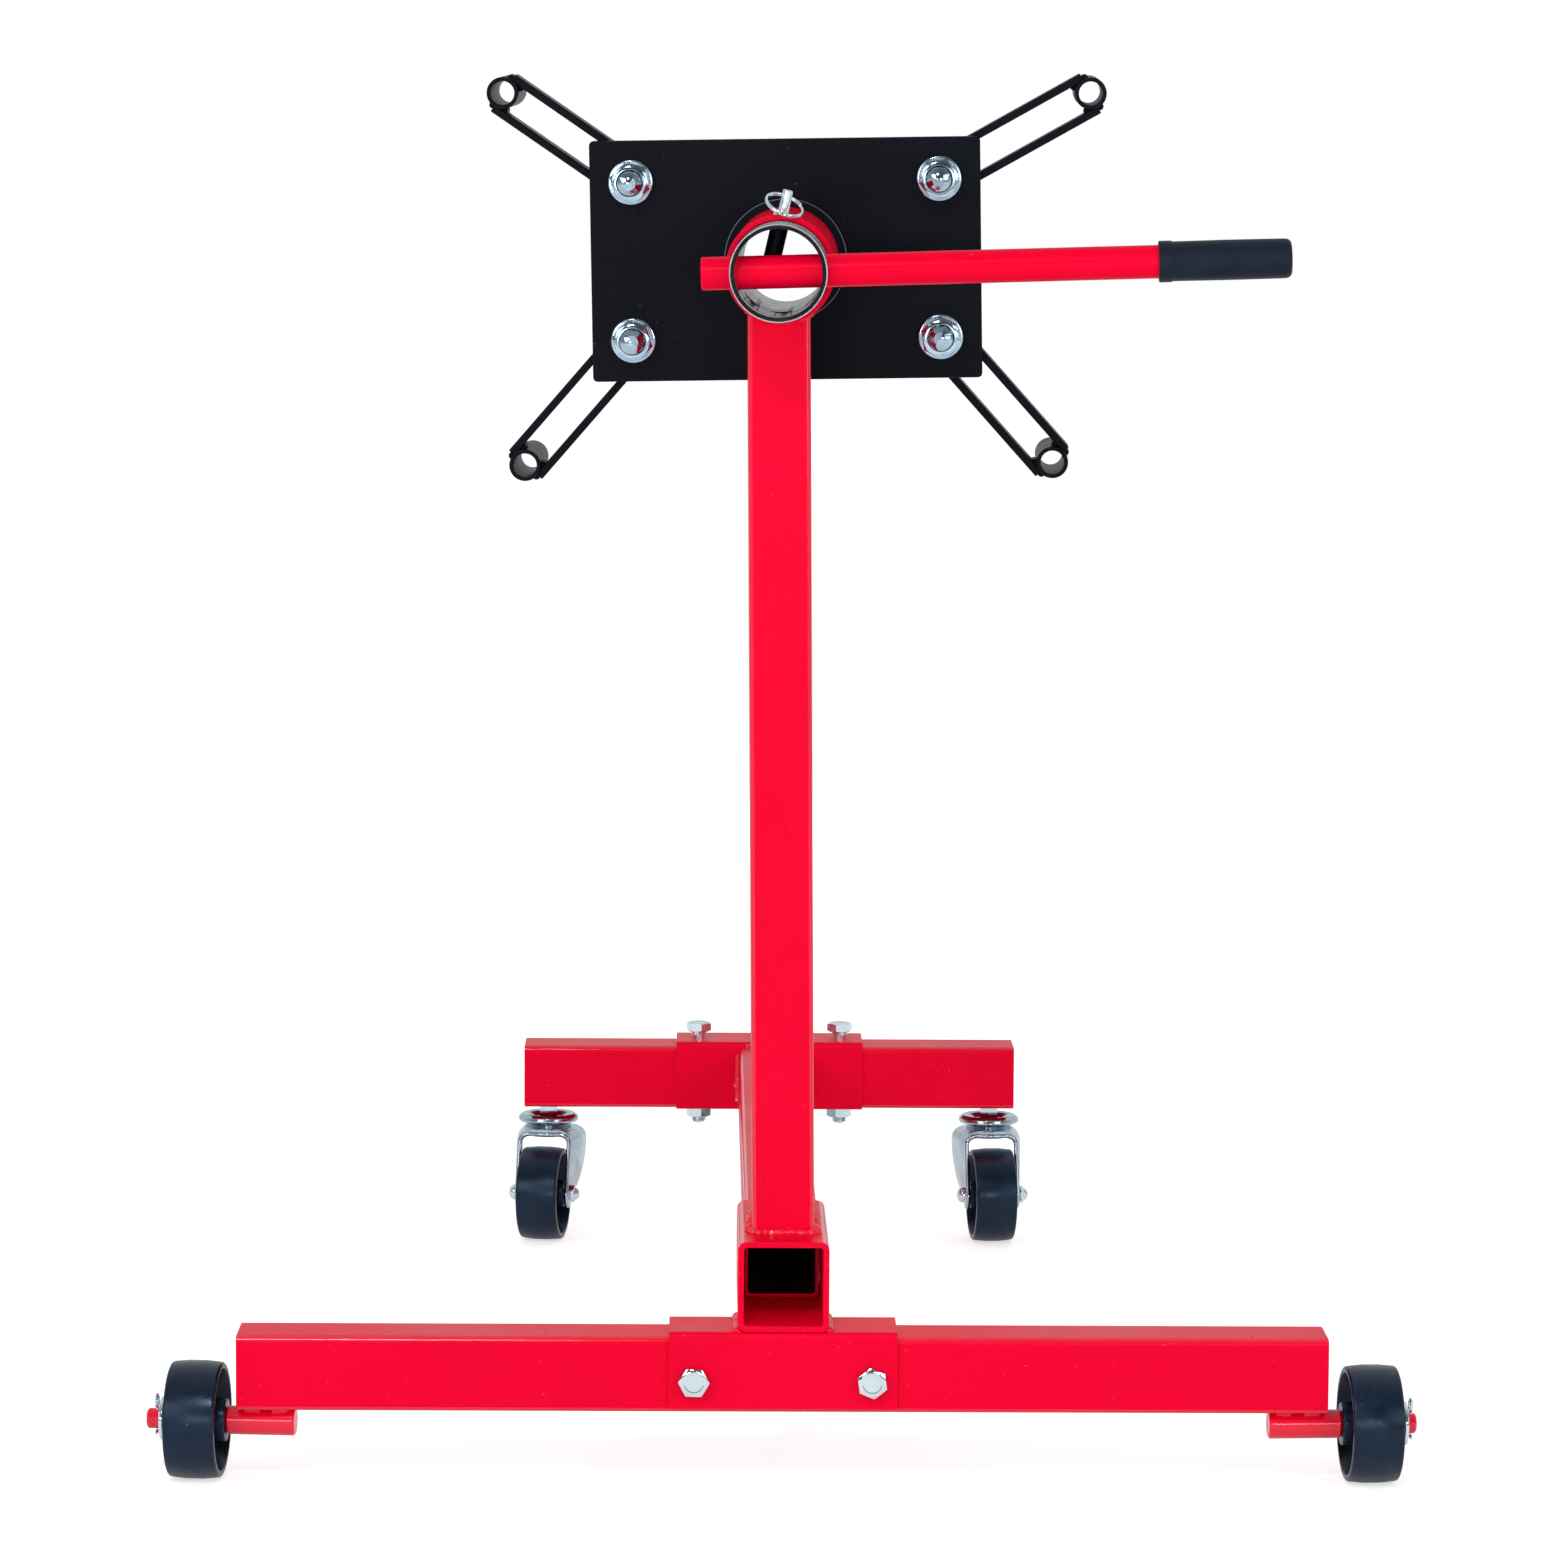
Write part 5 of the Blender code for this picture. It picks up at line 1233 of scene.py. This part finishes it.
# Lock pin: zinc-plated pin through a bush on top of the collar, with a split ring through its eye to pull it.
# Its lower end, painted black as shade inside the pipe, reaches through one of the pipe's lock holes.
PIN_SHANK = 0.0035
PIN_CHAMFER = 0.0009
PIN_BODY = 0.0058
PIN_REACH = 0.030
PIN_STEP, PIN_POINT = 0.0012, 0.0015
PIPE_INSIDE = 0.0283
EYE_RADIUS, EYE_DRILL, EYE_SIDES = 0.0019, 0.01, 24
BUSH_RADIUS = 0.0062
BUSH_HEIGHT = 0.0038
BUSH_SUNK, BUSH_PLAY = 0.0034, 0.0003
BUSH_FOOT_EASE, BUSH_BRIM_EASE, BUSH_BORE_EASE = 0.0002, 0.0007, 0.0004
RING_WIRE = 0.00085
RING_TURNS = 1.9
RING_LEAN = math.radians(8)
RING_STEPS, RING_SIDES = 120, 12

low, high = reach_of("lock_pin", pin_at, pin_along)[:2]
eye_at = Vector(JOINTS["lock_ring_swing"]["pos_m"])
pin_side = head_along.cross(pin_along).normalized()
point = (head_at + pin_station * head_along - pin_at).dot(pin_along) + PIPE_INSIDE - PIN_REACH
pin = [(0, high), (PIN_SHANK - PIN_CHAMFER, high), (PIN_SHANK, high - PIN_CHAMFER)]
pin += [(PIN_SHANK, low), (0, low)]
tip = [(0, low), (PIN_SHANK, low), (PIN_BODY, low - PIN_STEP), (PIN_BODY, point + PIN_POINT)]
tip += [(PIN_BODY - PIN_POINT, point), (0, point)]
# The lower end is painted black: painted shade, for it lies in the dark inside the pipe.
tip_piece = piece_of("lock_pin_end_painted_shade", turned(tip, SMALL_SIDES), pin_place)
goes_on(tip_piece, black_paint, "lock_pin")
pin_piece = piece_of("lock_pin_turned", turned(pin, SMALL_SIDES), pin_place)
eye_place = aimed(eye_at, pin_side, head_along)
drilled(pin_piece, [drill("eye_drill", EYE_RADIUS, -EYE_DRILL, EYE_DRILL, EYE_SIDES, eye_place)])
stands_for(pin_piece, zinc, "lock_pin")
bush_foot = collar_round - BUSH_SUNK - (pin_at - head_at).dot(pin_along)
bush_top, bush_bore = bush_foot + BUSH_HEIGHT, PIN_SHANK + BUSH_PLAY
bush = [(bush_bore, bush_foot, BUSH_FOOT_EASE), (BUSH_RADIUS, bush_foot, BUSH_FOOT_EASE)]
bush += [(BUSH_RADIUS, bush_top, BUSH_BRIM_EASE), (bush_bore, bush_top, BUSH_BORE_EASE)]
bush_piece = piece_of("lock_pin_bush", turned(eased(bush), SMALL_SIDES), pin_place)
goes_on(bush_piece, zinc, BASE)
ring_low, ring_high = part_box("lock_ring")
ring_middle = (ring_low + ring_high) / 2
ring_out = ring_middle - eye_at
ring_out -= ring_out.dot(pin_side) * pin_side
ring_side = Matrix.Rotation(RING_LEAN, 3, head_along) @ pin_side
ring_normal = ring_out.cross(ring_side).normalized()
ring_centre = eye_at + ring_out
ring_radius = ring_out.length
coil = []
for step in range(RING_STEPS + 1):
    turn = 2 * math.pi * RING_TURNS * step / RING_STEPS
    lift = (step / RING_STEPS - 0.5) * 2 * RING_WIRE
    spoke = math.cos(turn) * ring_side + math.sin(turn) * ring_out.normalized()
    coil.append(ring_centre + ring_radius * spoke + lift * ring_normal)
ring = piece_of("lock_split_ring", swept(coil, [RING_WIRE] * len(coil), ring_normal, RING_SIDES))
stands_for(ring, zinc, "lock_ring")

# Arms: two flat bars on edge with a spacer at the tail and a boss tube welded across the far end, all black.
# An M16 bolt through the slot, with a washer and a nut in front, clamps each arm to the plate.
BAR_EDGE = 0.0010
BOSS_RADIUS = 0.0106
BOSS_EASE = 0.0008
BOSS_SIDES = 64
ARM_WELD = 0.0026
ARM_WELD_SHORT = 0.002
ARM_WELD_PLACES = {"weld": (-0.0075, -0.0004), "cap": (0.0012, 0.0010)}
M16, M16_FLATS, M16_HEAD, M16_PITCH, M16_THREADED = 0.016, 0.024, 0.010, 0.002, 0.040
ARM_NUT_TURN = {"upper_left": 12, "upper_right": -9, "lower_left": 31, "lower_right": 4}
ARM_SPACER, SPACER_INSET = 0.006, 0.003
ARM_SLOT, ARM_BAR = 0.0192, 0.0052
ARM_WASHER_EASE = 0.0013
BLUE_DEEP, BLUE_PALE = (0.30, 0.44, 0.56, 1), (0.50, 0.63, 0.72, 1)


def arm_bar(name, place, low, high, near, far, start, end):
    """One flat bar of an arm, along local Z, between two distances from the arm's middle."""
    outline = eased(tube_corners(near, far, low, high, BAR_EDGE))
    return piece_of(name, bar_shape(outline, start, end), place, SAWN_EDGE)


blue_zinc = plated_steel("blue_zinc", BLUE_DEEP, BLUE_PALE, ZINC_DULL, shine=0.08, rough=0.17, grain=0.012)
M16_SIZES = (M16_THREADED, M16_PITCH, M16_HEAD, M16_FLATS, M16)
for arm, nut_turn in ARM_NUT_TURN.items():
    pivot = Vector(JOINTS[f"arm_{arm}_swing"]["pos_m"])
    along = Vector(JOINTS[f"arm_{arm}_slide"]["axis"]).normalized()
    over = head_along.cross(along).normalized()
    bar_near = reach_of("mounting_plate", pivot, head_along)[1] + SEAT_GAP
    head_seat = reach_of(f"arm_bolt_{arm}", pivot, head_along)[1] - M16_HEAD
    bar_far = head_seat - SEAT_GAP
    tail, tip = reach_of(f"arm_{arm}", pivot, along)[:2]
    boss_centre = tip - BOSS_RADIUS
    boss_at = pivot + along * boss_centre
    boss_low, boss_high, boss_bore = reach_of(f"arm_{arm}", boss_at, head_along)[:3]
    inner, outer = ARM_SLOT / 2, ARM_SLOT / 2 + ARM_BAR
    lengthways = aimed(pivot, along, over)
    body = frame["nodes"][f"arm_{arm}"]["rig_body"]
    depth = (bar_near, bar_far)
    inset = (bar_near + SPACER_INSET, bar_far - SPACER_INSET)
    bars = [
        arm_bar(f"arm_{arm}_first_bar", lengthways, *depth, inner, outer, tail, boss_centre),
        arm_bar(f"arm_{arm}_second_bar", lengthways, *depth, -outer, -inner, tail, boss_centre),
        arm_bar(f"arm_{arm}_spacer", lengthways, *inset, -inner, inner, tail, tail + ARM_SPACER),
    ]
    boss = turned(eased(tube_corners(boss_bore, BOSS_RADIUS, boss_low, boss_high, BOSS_EASE)), BOSS_SIDES)
    boss_piece = piece_of(f"arm_{arm}_boss_tube", boss, aimed(boss_at, head_along, along))
    stands_for(boss_piece, black_paint, f"arm_{arm}")
    for bar in bars:
        goes_on(bar, black_paint, body)
    for side, sign in (("first", 1), ("second", -1)):
        for bead, (ahead, aside) in ARM_WELD_PLACES.items():
            bead_at = boss_at + along * ahead + over * sign * (inner + aside)
            ends = (bar_near + ARM_WELD_SHORT, bar_far - ARM_WELD_SHORT)
            run = [bead_at + head_along * end for end in ends]
            seed = f"{arm} {side}" if bead == "weld" else f"{arm} cap {side}"
            weld(f"arm_{arm}_{bead}_{side}", run, along, seed, ARM_WELD, body=body, finish=black_paint)

    twist = math.radians(nut_turn)
    side = math.cos(twist) * along + math.sin(twist) * over
    low, high, bore, radius = reach_of(f"arm_washer_{arm}", pivot, head_along)
    shape = turned(eased(tube_corners(bore, radius, low, high, ARM_WASHER_EASE)))
    washer = piece_of(f"arm_{arm}_flat_washer", shape, aimed(pivot, head_along, along))
    stands_for(washer, blue_zinc, f"arm_washer_{arm}")
    seat = pivot + head_along * head_seat
    fit_bolt(f"arm_bolt_{arm}", f"arm_{arm}_clamp_bolt", seat, head_along, side, *M16_SIZES, blue_zinc)
    seat = pivot + head_along * reach_of(f"arm_nut_{arm}", pivot, head_along)[1]
    nut_sizes = (M16_FLATS, M16, blue_zinc)
    fit_nut(f"arm_nut_{arm}", f"arm_{arm}_clamp_nut", seat, -head_along, side, *nut_sizes)

# Studio: a wide pale floor under a white surround, lit by soft panels in front and above.
# The camera stands where the picture was taken, about four metres away and a little above the head.
FLOOR_REACH = 40.0
FLOOR_PALE = (0.86, 0.86, 0.86, 1)
FLOOR_LIFT = 0.60
FLOOR_IN_METAL = 0.45
FLOOR_MOTTLE = 0.04
SURROUND = (1.0, 1.0, 1.0, 1)
SURROUND_LIGHT = 0.50
FRONT_FADE, FRONT_GLOSS = (-0.80, 0.30), (0.10, 0.75)
CAMERA_AT = Vector((-0.0534, -4.2787, 0.8617))
CAMERA_LENS = 135.97
CAMERA_SENSOR = 36.0
FARTHEST_SEEN = 200.0
CAMERA_YAW, CAMERA_PITCH, CAMERA_ROLL = math.radians(0.773), math.radians(5.924), math.radians(0.358)
LIT_PLACE = Vector((0, -0.1, 0.45))
PANELS = {
    "key_panel": ((-2.4, -3.2, 1.9), (1.7, 1.7), 28.0),
    "fill_panel": ((2.6, -3.3, 1.5), (1.9, 1.9), 26.0),
    "high_panel": ((-0.52, -2.8, 2.4), (0.5, 0.26), 16.0),
    "left_strip": ((-0.95, -3.9, 0.75), (0.7, 0.40), 11.5),
    "right_strip": ((0.78, -3.9, 0.75), (0.7, 0.40), 11.5),
    "back_panel": ((0.6, 3.6, 1.3), (1.9, 1.9), 22.0),
}

floor_shape = bmesh.new()
bmesh.ops.create_circle(floor_shape, cap_ends=True, radius=FLOOR_REACH, segments=96)
floor = piece_of("studio_floor", floor_shape)
floor_finish, tree, shader = finish_named("pale_floor")
grain = put(tree, "ShaderNodeTexNoise", Scale=3.0, Detail=3.0)
mottle = ranged(tree, grain.outputs[0], *NOISE_MIDDLE, 0.0, FLOOR_MOTTLE)
feed(tree, shader.inputs["Base Color"], tinted(tree, mottle, FLOOR_PALE, SURROUND))
shader.inputs["Roughness"].default_value = 0.9
shader.inputs["Specular IOR Level"].default_value = 0.0
rays = tree.nodes.new("ShaderNodeLightPath").outputs
seen = sums(tree, "ADD", rays["Is Camera Ray"], rays["Is Transmission Ray"])
seen = sums(tree, "ADD", seen, sums(tree, "MULTIPLY", rays["Is Glossy Ray"], FLOOR_IN_METAL))
lift = put(tree, "ShaderNodeEmission", Color=SURROUND, Strength=sums(tree, "MULTIPLY", seen, FLOOR_LIFT))
both = tree.nodes.new("ShaderNodeAddShader")
tree.links.new(shader.outputs[0], both.inputs[0])
tree.links.new(lift.outputs[0], both.inputs[1])
tree.links.new(both.outputs[0], tree.nodes["Material Output"].inputs["Surface"])
floor.data.materials.append(floor_finish)

world = bpy.data.worlds.new("white_surround")
bpy.context.scene.world = world
world.use_nodes = True
tree = world.node_tree
sky = tree.nodes["Background"]
rays = tree.nodes.new("ShaderNodeLightPath").outputs
way = put(tree, "ShaderNodeSeparateXYZ", Vector=put(tree, "ShaderNodeTexCoord").outputs["Generated"])
front = ranged(tree, way.outputs["Y"], *FRONT_FADE, *FRONT_GLOSS)
shown = sums(tree, "ADD", rays["Is Camera Ray"], rays["Is Transmission Ray"])
glossy = sums(tree, "MULTIPLY", rays["Is Glossy Ray"], front)
soft = sums(tree, "MULTIPLY", rays["Is Diffuse Ray"], SURROUND_LIGHT)
strength = sums(tree, "ADD", sums(tree, "MINIMUM", shown, 1.0), sums(tree, "ADD", glossy, soft))
sky.inputs["Color"].default_value = SURROUND
feed(tree, sky.inputs["Strength"], strength)

for name, (at, (width, height), power) in PANELS.items():
    lamp = bpy.data.lights.new(name, "AREA")
    lamp.shape = "RECTANGLE"
    lamp.size = width
    lamp.size_y = height
    lamp.energy = power
    panel = bpy.data.objects.new(name, lamp)
    bpy.context.scene.collection.objects.link(panel)
    panel.matrix_world = aimed(Vector(at), Vector(at) - LIT_PLACE, X_AXIS)
    panel.visible_glossy = name != "back_panel"

lens = bpy.data.cameras.new("picture_camera")
lens.lens = CAMERA_LENS
lens.sensor_width = CAMERA_SENSOR
lens.clip_end = FARTHEST_SEEN
camera = bpy.data.objects.new("picture_camera", lens)
bpy.context.scene.collection.objects.link(camera)
camera.location = CAMERA_AT
look = Matrix.Rotation(-CAMERA_YAW, 4, "Z") @ Matrix.Rotation(math.pi / 2 - CAMERA_PITCH, 4, "X")
camera.rotation_euler = (look @ Matrix.Rotation(CAMERA_ROLL, 4, "Z")).to_euler()
bpy.context.scene.camera = camera
bpy.context.scene.view_settings.view_transform = "Standard"
